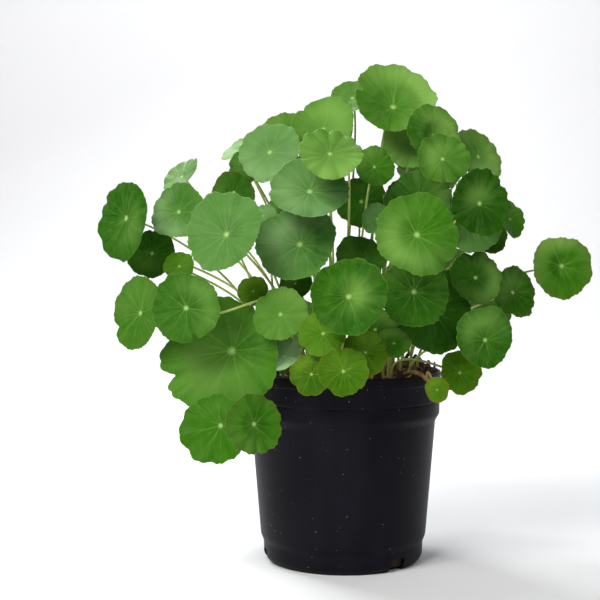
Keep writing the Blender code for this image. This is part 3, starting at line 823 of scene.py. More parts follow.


# What the photo shows of single leaves, on top of what is drawn for them
# In these notes ring and shade set painted shade, glare and sheen set painted highlight.
LEAF_NOTES: dict[str, dict[str, Any]] = {
    "leaf_01": dict(
        lobes=11, wave=0.03, collar=0.03, collar_side=0.0, ring=Patch(150, 0.5, 0.3),
        glare=Patch(320, 0.45, 0.35), shade=0.9, sheen=0.0, blush=0.0,
    ),
    "leaf_02": dict(glare=Patch(200, 0.7, 0.3), shade=0.25, sheen=0.35),
    "leaf_03": dict(
        collar=0.05, ring=Patch(90, 0.5, 0.5), glare=Patch(215, 0.75, 0.9), shade=0.45, sheen=0.0,
    ),
    "leaf_04": dict(wave=0.03, glare=Patch(270, 0.5, 0.25), shade=0.3, sheen=0.0),
    "leaf_05": dict(
        lobes=13, scallop=0.055, crenation=0.022, wave=0.012, cleft=Notch(0, 0.0),
        ring=Patch(60, 0.15, 0.8), glare=Patch(90, 0.6, 0.0), shade=0.3, sheen=0.16,
    ),
    "leaf_06": dict(glare=Patch(180, 0.7, 0.3), shade=0.55, sheen=0.0),
    "leaf_08": dict(
        tone=Tone.BRIGHT, cleft=Notch(215, 0.1), glare=Patch(100, 0.6, 0.2), shade=0.45, sheen=0.1,
    ),
    "leaf_09": dict(
        collar=0.045, collar_side=60.0, cleft=Notch(300, 0.1), ring=Patch(20, 0.4, 0.45),
        glare=Patch(20, 0.7, 0.4), shade=0.78, sheen=0.0,
    ),
    "leaf_10": dict(
        lobes=10, scallop=0.075, wave=0.02, cleft=Notch(205, 0.1), ring=Patch(60, 0.5, 0.9),
        glare=Patch(220, 0.5, 0.5), shade=0.15, sheen=0.1, blush=0.0,
    ),
    "leaf_11": dict(
        lobes=10, scallop=0.075, glare=Patch(90, 0.6, 0.1), shade=0.35, sheen=0.05, blush=0.0,
    ),
    "leaf_12": dict(
        lobes=12, scallop=0.05, collar=0.05, collar_side=180.0, ring=Patch(0, 0.28, 0.7),
        glare=Patch(200, 0.8, 0.3), shade=0.18, sheen=0.0, blush=0.06,
    ),
    "leaf_13": dict(
        lobes=11, collar=0.08, collar_side=0.0, cleft=Notch(132, 0.18), ring=Patch(190, 0.5, 0.6),
        glare=Patch(30, 0.85, 1.0), shade=0.28, sheen=0.12, blush=0.0,
    ),
    "leaf_14": dict(shade=0.3, sheen=0.25, blush=0.0),
    "leaf_15": dict(
        tone=Tone.BRIGHT, lobes=9, scallop=0.035, cleft=Notch(100, 0.06), ring=Patch(240, 0.5, 0.6),
        glare=Patch(45, 0.6, 0.4), shade=0.0, sheen=0.35, blush=0.0,
    ),
    "leaf_16": dict(
        tone=Tone.PALE, collar=0.06, collar_side=90.0, ring=Patch(60, 0.5, 0.45),
        glare=Patch(250, 0.8, 0.5), shade=0.3, sheen=0.3, blush=0.0,
    ),
    "leaf_17": dict(shade=0.5, sheen=0.6, blush=0.25),
    "leaf_18": dict(shade=0.6, sheen=0.1),
    "leaf_19": dict(
        lobes=13, scallop=0.07, pleat=0.022, wave=0.03, ring=Patch(110, 0.25, 0.8),
        glare=Patch(270, 0.8, 0.5), shade=0.25, sheen=0.45, blush=0.0,
    ),
    "leaf_20": dict(
        tone=Tone.PALE, lobes=10, wave=0.025, ring=Patch(340, 0.8, 0.6), glare=Patch(200, 0.6, 0.4),
        shade=0.55, sheen=0.15, blush=0.0,
    ),
    "leaf_21": dict(
        collar=0.1, collar_side=0.0, ring=Patch(0, 0.65, 0.9), glare=Patch(150, 0.55, 0.8), shade=0.55,
        sheen=0.05, blush=0.0,
    ),
    "leaf_24": dict(shade=0.35, sheen=0.05, blush=0.0),
    "leaf_25": dict(shade=0.5, sheen=0.0, blush=0.1),
    "leaf_26": dict(
        wave=0.035, collar=0.09, collar_side=135.0, ring=Patch(170, 0.5, 1.5), glare=Patch(350, 0.6, 1.3),
        shade=0.14, sheen=0.1, blush=0.0,
    ),
    "leaf_26_behind": dict(ring=Patch(0, 0.3, 0.0), shade=0.2, sheen=0.65, blush=0.0),
    "leaf_27": dict(
        scallop=0.06, pleat=0.02, wave=0.05, glare=Patch(160, 0.4, 0.6), shade=0.5, blush=0.0,
    ),
    "leaf_28": dict(
        tone=Tone.BRIGHT, scallop=0.05, ring=Patch(120, 0.4, 0.7), glare=Patch(300, 0.6, 1.1), shade=0.05,
        sheen=0.25,
    ),
    "leaf_29": dict(
        lobes=13, scallop=0.06, pleat=0.014, ring=Patch(200, 0.5, 0.8), glare=Patch(110, 0.28, 0.8),
        shade=0.72, sheen=0.0, blush=0.0,
    ),
    "leaf_30": dict(tone=Tone.BRIGHT, scallop=0.07, shade=0.1, sheen=0.0, blush=0.05),
    "leaf_31": dict(
        ring=Patch(150, 0.7, 0.5), glare=Patch(0, 0.8, 0.7), shade=0.45, sheen=0.0, blush=0.0,
    ),
    "leaf_32": dict(
        lobes=12, scallop=0.06, crenation=0.026, wave=0.012, collar=0.05, cleft=Notch(300, 0.04),
        ring=Patch(285, 0.8, 0.9), glare=Patch(215, 0.65, 0.8), shade=0.12, sheen=0.05, blush=0.0,
    ),
    "leaf_33": dict(tone=Tone.PALE, sheen=0.12),
    "leaf_34": dict(tone=Tone.PALE, shade=0.3, sheen=0.2, blush=0.0),
    "leaf_35": dict(
        lobes=10, scallop=0.045, collar=0.09, collar_side=200.0, ring=Patch(180, 0.35, 0.6),
        glare=Patch(120, 0.9, 0.9), shade=0.0, sheen=0.0, blush=0.1,
    ),
    "leaf_36": dict(
        lobes=9, scallop=0.07, cleft=Notch(75, 0.14), glare=Patch(340, 0.75, 1.0), shade=0.75,
    ),
    "leaf_37": dict(
        cleft=Notch(230, 0.08), glare=Patch(120, 0.45, 0.4), shade=0.78, sheen=0.0, blush=0.1,
    ),
    "leaf_38": dict(
        lobes=9, scallop=0.035, collar=0.06, dimple=0.05, ring=Patch(300, 0.6, 0.5),
        glare=Patch(110, 0.6, 0.5), shade=0.82, sheen=0.0, blush=0.0,
    ),
    "leaf_39": dict(scallop=0.03, wave=0.01, glare=Patch(90, 0.8, 0.2), shade=0.8, sheen=0.0),
    "leaf_40": dict(scallop=0.035, glare=Patch(90, 0.8, 0.0), shade=0.7, sheen=0.0),
    "leaf_42": dict(
        lobes=12, scallop=0.05, pleat=0.01, collar=0.08, collar_side=150.0, ring=Patch(345, 0.72, 1.6),
        glare=Patch(20, 0.25, 0.7), shade=0.5, sheen=0.0, blush=0.0,
    ),
    "creeping_stem_front.1": dict(lobes=9, scallop=0.07, shade=1.0, sheen=0.0, blush=0.1),
    "creeping_stem_front.2": dict(lobes=10, scallop=0.075, shade=0.75, sheen=0.05, blush=0.04),
    "creeping_stem_front.3": dict(lobes=9, scallop=0.085, shade=0.1, sheen=0.0, blush=0.15),
    "creeping_stem_front.4": dict(tone=Tone.DEEP, shade=0.3),
    "creeping_stem_middle.1": dict(tone=Tone.BRIGHT, shade=0.2, sheen=0.3),
    "creeping_stem_middle.2": dict(lobes=8, scallop=0.06, pleat=0.02, shade=0.2, sheen=0.1),
    "creeping_stem_middle.3": dict(tone=Tone.DEEP, shade=0.3),
    "creeping_stem_middle.4": dict(tone=Tone.BRIGHT, shade=0.3),
    "creeping_stem_left.1": dict(shade=0.5, sheen=0.0),
    "creeping_stem_left.2": dict(shade=0.0, sheen=0.15),
    "creeping_stem_left.3": dict(tone=Tone.PALE, scallop=0.08, wave=0.05, sheen=0.4),
    "creeping_stem_left.4": dict(
        tone=Tone.PALE, pleat=0.03, wave=0.05, ring=Patch(0, 0.3, 0.0), glare=Patch(90, 0.2, 1.2),
        shade=0.0, sheen=1.1,
    ),
    "creeping_stem_left.5": dict(tone=Tone.DEEP, shade=0.5),
    "creeping_stem_right.1": dict(lobes=7, shade=0.3, blush=0.3, red_stalk=1.0),
    "creeping_stem_right.2": dict(lobes=8, scallop=0.08, shade=0.25, blush=0.12),
    "creeping_stem_back_left.1": dict(tone=Tone.BRIGHT),
    "creeping_stem_back_left.2": dict(tone=Tone.BRIGHT),
    "creeping_stem_back_left.3": dict(tone=Tone.DEEP),
    "creeping_stem_back_left.4": dict(tone=Tone.DEEP),
    "creeping_stem_back_left.5": dict(tone=Tone.YOUNG),
    "creeping_stem_back_right.1": dict(tone=Tone.BRIGHT),
    "creeping_stem_back_right.2": dict(tone=Tone.DEEP),
    "creeping_stem_back_right.3": dict(tone=Tone.BRIGHT),
    "creeping_stem_back_right.4": dict(tone=Tone.BRIGHT),
    "creeping_stem_back_right.5": dict(tone=Tone.BRIGHT),
}


@dataclass
class LeafSolid:
    """A leaf as its solid gives it: the eye, the face's axes, the margin round it and the stalk."""

    seat: Array
    across: Array
    upward: Array
    normal: Array
    margin: Wave
    rise: Wave
    radius: float
    stalk: Array

    LAYER_SIZES = [1, 8, 16, 8, 4, 4, 4, 4, 4]
    EYE_HEIGHT = 0.4 * MM

    @classmethod
    def from_layers(cls, layers: Sequence[Sequence[bmesh.types.BMVert]]) -> "LeafSolid":
        """Read a leaf from the rings of points round its eye.

        Args:
            layers: The eye, upper ring, margin, under ring and the stalk's rings from the top down.

        Returns:
            The leaf.
        """
        rings = [np.array([vert.co for vert in layer]) for layer in layers]
        stalk = np.array([ring.mean(axis=0) for ring in rings[4:]])
        eye = rings[0][0]
        normal = (eye - stalk[0]) / np.linalg.norm(eye - stalk[0])
        across = np.cross(UP, normal)
        across /= np.linalg.norm(across)
        upward = np.cross(normal, across)
        seat = eye - cls.EYE_HEIGHT * normal
        local = (rings[2] - seat) @ np.stack((across, upward, normal), axis=1)
        angles = np.arctan2(local[:, 1], local[:, 0])
        reach = np.hypot(local[:, 0], local[:, 1])
        margin = Wave.through(angles, reach)
        rise = Wave.through(angles, local[:, 2] / reach**2)
        return cls(seat, across, upward, normal, margin, rise, float(reach.mean()), stalk)

    def placed(self, across: Array, upward: Array, height: Array) -> Array:
        """Points of the frame from places on the blade."""
        parts = zip((across, upward, height), (self.across, self.upward, self.normal))
        return self.seat + sum(part[..., None] * axis for part, axis in parts)


class SolidReader:
    """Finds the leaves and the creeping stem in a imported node."""

    WELD = 0.005 * MM
    STEM_BLOCK = 3.9 * MM

    def __init__(self, node: bpy.types.Object) -> None:
        """Join the node's split points.

        Args:
            node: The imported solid.
        """
        self.bm = bmesh.new()
        self.bm.from_mesh(node.data)
        bmesh.ops.remove_doubles(self.bm, verts=self.bm.verts, dist=self.WELD)
        self.bm.verts.ensure_lookup_table()
        self.used: set[int] = set()

    def layers_from(self, vert: bmesh.types.BMVert) -> list[list[bmesh.types.BMVert]]:
        """Rings of points by their number of edges from one point.

        Args:
            vert: The point to start from.

        Returns:
            As many rings as a leaf has.
        """
        seen = {vert}
        layers = [[vert]]
        while len(layers) < len(LeafSolid.LAYER_SIZES) and layers[-1]:
            ring = []
            for member in layers[-1]:
                for edge in member.link_edges:
                    other = edge.other_vert(member)
                    if other not in seen:
                        seen.add(other)
                        ring.append(other)
            layers.append(ring)
        return layers

    def leaves(self) -> list[LeafSolid]:
        """Find the node's leaves.

        Returns:
            The leaves, from the viewer's left to right.
        """
        found = []
        for vert in self.bm.verts:
            if len(vert.link_edges) != LeafSolid.LAYER_SIZES[1]:
                continue
            layers = self.layers_from(vert)
            if [len(layer) for layer in layers] == LeafSolid.LAYER_SIZES:
                found.append(LeafSolid.from_layers(layers))
                self.used.update(member.index for layer in layers for member in layer)
        return sorted(found, key=lambda leaf: leaf.seat[0])

    def stem(self) -> Array:
        """Find the creeping stem's middle line, once the leaves have been found.

        Returns:
            One point for each block of the points left over, from one end to the other.
        """
        blocks: list[list[Array]] = []
        for spot in [np.array(vert.co) for vert in self.bm.verts if vert.index not in self.used]:
            near, apart = [], []
            for block in blocks:
                gap = min(np.linalg.norm(spot - other) for other in block)
                (near if gap < self.STEM_BLOCK else apart).append(block)
            blocks = [*apart, [spot, *(other for block in near for other in block)]]
        middles = np.array([np.mean(block, axis=0) for block in blocks])
        gaps = np.linalg.norm(middles[:, None] - middles[None], axis=2)
        line = [int(np.unravel_index(gaps.argmax(), gaps.shape)[0])]
        while len(line) < len(middles):
            rest = [number for number in range(len(middles)) if number not in line]
            line.append(min(rest, key=lambda number: gaps[line[-1], number]))
        return middles[line]


@dataclass
class Tube:
    """A round tube along a smooth line, such as a stalk or a stem."""

    sides: int = 10
    dome: float = 0.6

    def rings(self, line: Array, radii: Array) -> tuple[Array, list[tuple[int, ...]]]:
        """Points and faces of the tube, with a domed tip at each end.

        Args:
            line: Its middle line.
            radii: Its radius at each point of the line.

        Returns:
            The points, ring by ring and then the two tips, and the faces.
        """
        tangents = np.gradient(line, axis=0)
        tangents /= np.linalg.norm(tangents, axis=1)[:, None]
        side = np.cross(tangents[0], (0.31, 0.87, 0.38))
        angles = np.arange(self.sides) * math.tau / self.sides
        points = []
        for spot, tangent, radius in zip(line, tangents, radii):
            side = side - (side @ tangent) * tangent
            side /= np.linalg.norm(side)
            other = np.cross(tangent, side)
            turned = np.cos(angles)[:, None] * side + np.sin(angles)[:, None] * other
            points.append(spot + radius * turned)
        domes = tangents * radii[:, None] * self.dome
        tips = np.array([line[0] - domes[0], line[-1] + domes[-1]])
        return np.concatenate([*points, tips]), closed_faces(len(line), self.sides)

    def spread(self, values: Array) -> Array:
        """One value for each ring, given to all the tube's points."""
        return np.concatenate([np.repeat(values, self.sides), values[[0, -1]]])


def smooth_line(spots: Array, per_span: int) -> Array:
    """A smooth line through spots.

    Args:
        spots: The points to pass, one a row.
        per_span: Steps from one to the next.

    Returns:
        The line's points.
    """
    ends = np.concatenate([[2 * spots[0] - spots[1]], spots, [2 * spots[-1] - spots[-2]]])
    steps = (np.arange(per_span) / per_span)[:, None]
    line = []
    for before, first, second, after in zip(ends, ends[1:], ends[2:], ends[3:]):
        slope = (second - before) / 2
        next_slope = (after - first) / 2
        line.append(
            (2 * steps**3 - 3 * steps**2 + 1) * first
            + (steps**3 - 2 * steps**2 + steps) * slope
            + (3 * steps**2 - 2 * steps**3) * second
            + (steps**3 - steps**2) * next_slope
        )
    return np.concatenate([*line, spots[-1:]])


@dataclass
class Leaf:
    """One leaf: a scalloped, veined blade on a round stalk that joins it at its eye."""

    solid: LeafSolid
    form: LeafForm
    seed: int
    foot_depth: float
    spokes_per_lobe: int = 15
    thickness: float = 0.50 * MM
    stalk_top: float = 0.66 * MM
    stalk_foot: float = 0.92 * MM
    stalk_flare: tuple[float, float] = (1.12, 1.35)
    stalk_crowding: float = 1.4
    stalk_steps: int = 36
    uneven_lobes: tuple[float, float] = (0.10, 0.06)
    notch_sharpness: float = 3.2
    collar_reach: float = 0.44
    collar_width: float = 0.15
    dimple_width: float = 0.13
    shade_ring_width: float = 0.24
    glare_width: float = 0.34

    UPPER = (
        0.035, 0.075, 0.12, 0.18, 0.26, 0.34, 0.43, 0.52, 0.61, 0.70, 0.78, 0.85, 0.91, 0.955, 0.985, 1.0,
    )
    LOWER = (0.985, 0.95, 0.85, 0.70, 0.52, 0.34, 0.18, 0.06)
    WAVES = (2, 3, 4, 5, 7)
    SEED_SPAN = 97

    def __post_init__(self) -> None:
        """Draw what is left to chance."""
        chance = np.random.default_rng(self.seed)
        form = self.form
        self.start = chance.uniform(0.0, math.tau)
        self.notches = form.scallop * chance.uniform(0.65, 1.35, form.lobes)
        self.wave_sizes = form.wave * chance.uniform(0.4, 1.0, len(self.WAVES)) / np.sqrt(self.WAVES)
        self.wave_starts = chance.uniform(0.0, math.tau, len(self.WAVES))
        self.widths = chance.uniform(0.0, math.tau, 2)
        cleft_turn = (math.radians(form.cleft.side) - self.start) / math.tau * form.lobes
        self.notches[int(cleft_turn) % form.lobes] += form.cleft.depth

    def angle(self, turn: Array) -> Array:
        """Turns on the blade, whose lobes differ in width.

        Args:
            turn: Turns round the eye, counted in lobes.

        Returns:
            Their angles.
        """
        share = turn / self.form.lobes * math.tau
        two, three = self.uneven_lobes
        uneven = two * np.sin(2 * share + self.widths[0]) + three * np.sin(3 * share + self.widths[1])
        return self.start + share + uneven

    def surface(self, reach: Array, turn: Array, lift: float) -> tuple[Array, Array]:
        """Points of the blade.

        Args:
            reach: Shares of the way from the eye to the margin, as a column.
            turn: Turns round the eye, counted in lobes, as a row.
            lift: How far over the blade's middle layer, less towards the margin.

        Returns:
            The points, and where each lies on a disc of radius 1 with evenly wide lobes.
        """
        form = self.form
        angle = self.angle(turn)
        between = 1.0 - 2.0 * np.abs(turn % 1.0 - 0.5)
        notch = self.notches[turn.astype(int) % form.lobes] * between**self.notch_sharpness
        crenation = form.crenation * (1.0 - np.abs(np.sin(3.0 * math.pi * turn)))
        cut = 1.0 + 0.30 * form.scallop - notch - crenation
        radius = self.solid.margin.at(angle)
        flat = reach * radius * (1.0 + (cut - 1.0) * reach**3)
        height = self.solid.rise.at(angle) * (reach * radius) ** 2
        size = self.solid.radius
        waves = zip(self.WAVES, self.wave_sizes, self.wave_starts)
        ripple = sum(share * np.cos(count * angle + start) for count, share, start in waves)
        one_side = 0.65 + 0.35 * np.cos(angle - math.radians(form.collar_side))
        relief = (
            ripple * reach**2.5
            + form.collar * one_side * np.exp(-(((reach - self.collar_reach) / self.collar_width) ** 2))
            + form.pleat * reach**2.5 * (np.cos(math.tau * turn) - 0.25)
            - 0.5 * notch * reach**3
            + form.dimple * (1.0 - np.exp(-((reach / self.dimple_width) ** 2)))
            - form.curl * reach**6
        )
        height = height + size * relief + lift * (1.0 - 0.45 * reach**2)
        points = self.solid.placed(flat * np.cos(angle), flat * np.sin(angle), height)
        even = turn / form.lobes * math.tau
        flat_places = (reach * np.cos(even), reach * np.sin(even), 0.0 * reach)
        disc = np.stack(np.broadcast_arrays(*flat_places), axis=-1)
        return points.reshape(-1, 3), disc.reshape(-1, 3)

    def painted_patch(self, disc: Array, patch: Patch, width: float) -> Array:
        """A soft patch of painted shade or painted highlight on the blade.

        Args:
            disc: Where the points lie on a disc of radius 1.
            patch: The patch.
            width: How far it spreads in and out.

        Returns:
            Its strength at each point.
        """
        out = np.hypot(disc[:, 0], disc[:, 1])
        turn = np.arctan2(disc[:, 1], disc[:, 0]) + self.start - math.radians(patch.side)
        fading = (0.5 + 0.5 * np.cos(turn)) ** 1.4 * np.exp(-(((out - patch.reach) / width) ** 2))
        return patch.strength * fading

    def stalk_line(self) -> Array:
        """Fit one smooth curve through the middles of the solid stalk's rings.

        Returns:
            The curve's points, from the foot to the eye.
        """
        rings = self.solid.stalk[::-1]
        share = np.arange(len(rings)) / (len(rings) - 1)
        times = 1.0 - (1.0 - share) ** self.stalk_crowding
        inner = times[1:-1, None]
        known = (1 - inner) ** 3 * rings[0] + inner**3 * rings[-1]
        weights = np.concatenate([3 * inner * (1 - inner) ** 2, 3 * inner**2 * (1 - inner)], axis=1)
        handles = np.linalg.lstsq(weights, rings[1:-1] - known, rcond=None)[0]
        steps = np.linspace(0.0, 1.0, self.stalk_steps)[:, None]
        return (
            (1 - steps) ** 3 * rings[0]
            + 3 * steps * (1 - steps) ** 2 * handles[0]
            + 3 * steps**2 * (1 - steps) * handles[1]
            + steps**3 * rings[-1]
        )

    def draw(self, draft: Draft, blade_dress: int, stalk_dress: int) -> None:
        """Add the leaf to a mesh.

        Args:
            draft: The mesh.
            blade_dress: The number of the blade's material.
            stalk_dress: The number of the stalk's material.
        """
        self.draw_blade(draft, blade_dress)
        line = self.stalk_line()
        start = line[0] - self.foot_depth * UP
        end = self.solid.seat - self.thickness * self.solid.normal
        line = np.concatenate([[start], line[:-1], [end]])
        along = np.linspace(0.0, 1.0, len(line))
        radii = self.stalk_foot + (self.stalk_top - self.stalk_foot) * along**0.7
        radii[-2:] *= self.stalk_flare
        tube = Tube()
        stalk, faces = tube.rings(line, radii)
        draft.add(stalk, faces, stalk_dress, along=tube.spread(along), blush=self.form.red_stalk)

    def draw_blade(self, draft: Draft, dress: int) -> None:
        """Add the blade to a mesh.

        Args:
            draft: The mesh.
            dress: The number of its material.
        """
        form = self.form
        count = form.lobes * self.spokes_per_lobe
        turn = (np.arange(count) / self.spokes_per_lobe)[None, :]
        half = self.thickness / 2
        middle = np.zeros((1, 1))
        shells = [
            self.surface(np.array(self.UPPER)[:, None], turn, half),
            self.surface(np.array(self.LOWER)[:, None], turn, -half),
            self.surface(middle, middle, half),
            self.surface(middle, middle, -half),
        ]
        disc = np.concatenate([places for _, places in shells])
        sides = [np.full(len(places), side) for (_, places), side in zip(shells, (1.0, 0.0, 1.0, 0.0))]
        draft.add(
            np.concatenate([points for points, _ in shells]),
            closed_faces(len(self.UPPER) + len(self.LOWER), count, inside_out=True),
            dress,
            disc=disc,
            topside=np.concatenate(sides),
            lobes=float(form.lobes),
            # Painted shade: the ring crescent adds to the shade number.
            shade=form.shade + self.painted_patch(disc, form.ring, self.shade_ring_width),
            # Painted highlight: the glare patch adds to the sheen number.
            sheen=form.sheen + self.painted_patch(disc, form.glare, self.glare_width),
            blush=form.blush,
            seed=float(self.seed % self.SEED_SPAN),
        )


@dataclass
class Foliage:
    """The leaves and the creeping stems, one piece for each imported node."""

    stem_radius: float = 1.25 * MM
    node_swelling: float = 0.22
    tip_narrowing: float = 0.75
    stem_sides: int = 14
    stem_steps: int = 10
    shoot_depth: float = 2.6 * MM
    root_depth: float = 4.0 * MM
    seeds_per_node: int = 10

    def __post_init__(self) -> None:
        """Mix the materials that all leaves share."""
        self.blades = {tone: tone.value.mixed() for tone in Tone}
        self.stalk = StalkFinish().mixed()
        self.stem = StemFinish().mixed()

    def form_of(self, name: str, solid: LeafSolid, tone: Tone, seed: int) -> LeafForm:
        """A leaf's form: drawn, and then set by what the photo shows of it.

        Args:
            name: The leaf's name in the notes.
            solid: The leaf's solid.
            tone: Its green where the notes give none.
            seed: Where its draws start.

        Returns:
            The form.
        """
        drawn = LeafForm.drawn(tone, solid.radius, np.random.default_rng(seed))
        return replace(drawn, **LEAF_NOTES.get(name, {}))

    def build(self, name: str, node: bpy.types.Object, slot: str, seed: int) -> bpy.types.Object:
        """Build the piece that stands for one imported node.

        Args:
            name: The node's name.
            node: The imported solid.
            slot: The record's material slot.
            seed: Where its draws start.

        Returns:
            The finished piece.
        """
        reader = SolidReader(node)
        creeping = name.startswith("creeping_stem")
        draft = Draft()
        dresses: list[bpy.types.Material] = [self.stalk, self.stem] if creeping else [self.stalk]
        for number, solid in enumerate(reader.leaves()):
            label = f"{name}.{number + 1}" if creeping else name
            leaf_seed = seed * self.seeds_per_node + number
            form = self.form_of(label, solid, SLOT_TONES[slot], leaf_seed)
            blade = self.blades[form.tone]
            if blade not in dresses:
                dresses.append(blade)
            depth = self.shoot_depth if creeping else self.root_depth
            Leaf(solid, form, leaf_seed, depth).draw(draft, dresses.index(blade), 0)
        if creeping:
            self.draw_stem(draft, reader.stem())
        piece = draft.made(f"{name}_grown", dresses)
        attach(piece, BODY)
        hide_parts(name)
        return piece

    def draw_stem(self, draft: Draft, middles: Array) -> None:
        """Add a creeping stem, thicker at each node that a leaf grows from.

        Args:
            draft: The mesh.
            middles: The stem's middle line, one point a node.
        """
        line = smooth_line(middles, self.stem_steps)
        beat = np.abs(np.cos(np.arange(len(line)) / self.stem_steps * math.pi))
        radii = self.stem_radius * (1.0 + self.node_swelling * beat**6)
        radii[[0, -1]] *= self.tip_narrowing
        draft.add(*Tube(self.stem_sides).rings(line, radii), 1)


@dataclass
class Pot:
    """The nursery pot: one turned profile with a rolled lip, a collar, and drainage notches."""

    sides: int = 176
    wall: float = 1.4 * MM
    floor: float = 2.0 * MM
    lip_height: float = 6.6 * MM
    collar_foot: float = 28.2 * MM
    shoulder_step: float = 2.9 * MM
    groove_drop: float = 19.0 * MM
    groove_depth: float = 0.35 * MM
    band_top: float = 17.4 * MM
    band_step: float = 1.9 * MM
    notch_width: float = 12.0 * MM
    notch_height: float = 8.6 * MM
    notch_reach: float = 16.0 * MM
    notch_bearings: tuple[float, ...] = (40.0, -80.0, 160.0)
    base_radius: float = 50.0 * MM
    collar_inset: float = 0.7 * MM
    band_stand: float = 3.5 * MM
    crease: float = math.radians(42.0)
    name: str = "pot"

    def __post_init__(self) -> None:
        """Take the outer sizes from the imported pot."""
        low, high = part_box(self.name)
        self.height = high.z
        self.lip_radius = high.x
        self.collar_radius = self.lip_radius - self.collar_inset

    def outline(self) -> list[tuple[float, float, float]]:
        """Draw the profile, up the outside from the base and down the inside to the floor.

        Returns:
            Each corner's radius, its height, and how far it is rounded.
        """
        shoulder = self.collar_radius - self.shoulder_step
        band = self.base_radius + self.band_stand
        collar_low = self.height - self.collar_foot
        groove = self.height - self.groove_drop
        return [
            (self.base_radius, 0.0, 0.0),
            (band - 0.3 * MM, 3.6 * MM, 2.2 * MM),
            (band, self.band_top - 4.4 * MM, 1.2 * MM),
            (band + self.band_step, self.band_top, 1.4 * MM),
            (shoulder, collar_low - 4.6 * MM, 1.6 * MM),
            (self.collar_radius - 0.1 * MM, collar_low, 1.3 * MM),
            (self.collar_radius - 0.1 * MM, groove - 0.8 * MM, 0.3 * MM),
            (self.collar_radius - self.groove_depth, groove, 0.35 * MM),
            (self.collar_radius, groove + 0.8 * MM, 0.3 * MM),
            (self.collar_radius, self.height - self.lip_height - 0.5 * MM, 0.35 * MM),
            (self.lip_radius, self.height - self.lip_height, 0.35 * MM),
            (self.lip_radius, self.height, 1.0 * MM),
            (self.lip_radius - 2.1 * MM, self.height, 0.8 * MM),
            (self.collar_radius - self.wall, self.height - 1.6 * MM, 0.5 * MM),
            (self.collar_radius - self.wall, collar_low + 0.5 * MM, 1.2 * MM),
            (shoulder - self.wall, collar_low - 5.4 * MM, 1.6 * MM),
            (band + self.band_step - self.wall, self.band_top + 0.6 * MM, 1.4 * MM),
            (band - self.wall, self.band_top - 4.0 * MM, 1.2 * MM),
            (self.base_radius, self.floor, 0.0),
        ]

    @staticmethod
    def rounded(corners: Sequence[tuple[float, float, float]], steps: int = 4) -> list[tuple[float, float]]:
        """Round each corner of a profile.

        Args:
            corners: Radius, height and how far the rounding reaches along both sides.
            steps: Spans of each rounded corner.

        Returns:
            The profile's points.
        """
        spots = [np.array(corner[:2]) for corner in corners]
        profile = []
        for number, (_, _, reach) in enumerate(corners):
            spot = spots[number]
            if reach == 0.0:
                profile.append(tuple(spot))
                continue
            before = spots[number - 1] - spot
            after = spots[number + 1] - spot
            start = spot + before * min(0.45, reach / np.linalg.norm(before))
            end = spot + after * min(0.45, reach / np.linalg.norm(after))
            for share in np.linspace(0.0, 1.0, steps + 1):
                rest = 1 - share
                profile.append(tuple(rest**2 * start + 2 * share * rest * spot + share**2 * end))
        return profile

    def turned(self) -> bpy.types.Object:
        """Turn the profile round the pot's axis.

        Returns:
            The pot without its notches.
        """
        profile = self.rounded(self.outline())
        angles = np.arange(self.sides) * math.tau / self.sides
        circle = np.stack([np.cos(angles), np.sin(angles), np.zeros(self.sides)], axis=1)
        rings = [radius * circle + height * UP for radius, height in profile]
        centres = np.array([(0.0, 0.0, 0.0), (0.0, 0.0, self.floor)])
        draft = Draft()
        draft.add(np.concatenate([*rings, centres]), closed_faces(len(rings), self.sides), 0)
        return draft.made("pot_moulded", [PotFinish().mixed()])

    def cutter(self, bearing: float) -> bpy.types.Object:
        """A rounded block for one drainage notch.

        Args:
            bearing: Its side of the pot in degrees.

        Returns:
            The block.
        """
        bm = bmesh.new()
        bmesh.ops.create_cube(bm, size=1.0)
        size = (self.notch_width, self.notch_reach, 2 * self.notch_height)
        bmesh.ops.scale(bm, vec=size, verts=bm.verts)
        long_edges = [edge for edge in bm.edges if abs(edge.verts[0].co.y - edge.verts[1].co.y) > MM]
        bmesh.ops.bevel(bm, geom=long_edges, offset=1.6 * MM, segments=5, affect="EDGES", profile=0.5)
        bmesh.ops.translate(bm, vec=(0.0, -self.base_radius - self.band_stand, 0.0), verts=bm.verts)
        turn = Matrix.Rotation(math.radians(bearing), 3, "Z")
        bmesh.ops.rotate(bm, cent=(0, 0, 0), matrix=turn, verts=bm.verts)
        mesh = bpy.data.meshes.new("notch_block")
        bm.to_mesh(mesh)
        bm.free()
        block = bpy.data.objects.new("notch_block", mesh)
        bpy.context.scene.collection.objects.link(block)
        return block

    def build(self) -> bpy.types.Object:
        """Turn the pot, cut its notches and dress it.

        Returns:
            The finished pot.
        """
        pot = self.turned()
        blocks = [self.cutter(bearing) for bearing in self.notch_bearings]
        for block in blocks:
            cut = pot.modifiers.new("notch", "BOOLEAN")
            cut.operation = "DIFFERENCE"
            cut.solver = "EXACT"
            cut.object = block
        bpy.context.view_layer.update()
        cut_mesh = bpy.data.meshes.new_from_object(pot.evaluated_get(bpy.context.evaluated_depsgraph_get()))
        pot.modifiers.clear()
        pot.data = cut_mesh
        for block in blocks:
            bpy.data.objects.remove(block, do_unlink=True)
        pot.data.shade_smooth()
        pot.data.set_sharp_from_angle(angle=self.crease)
        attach(pot, BODY)
        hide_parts(self.name)
        return pot


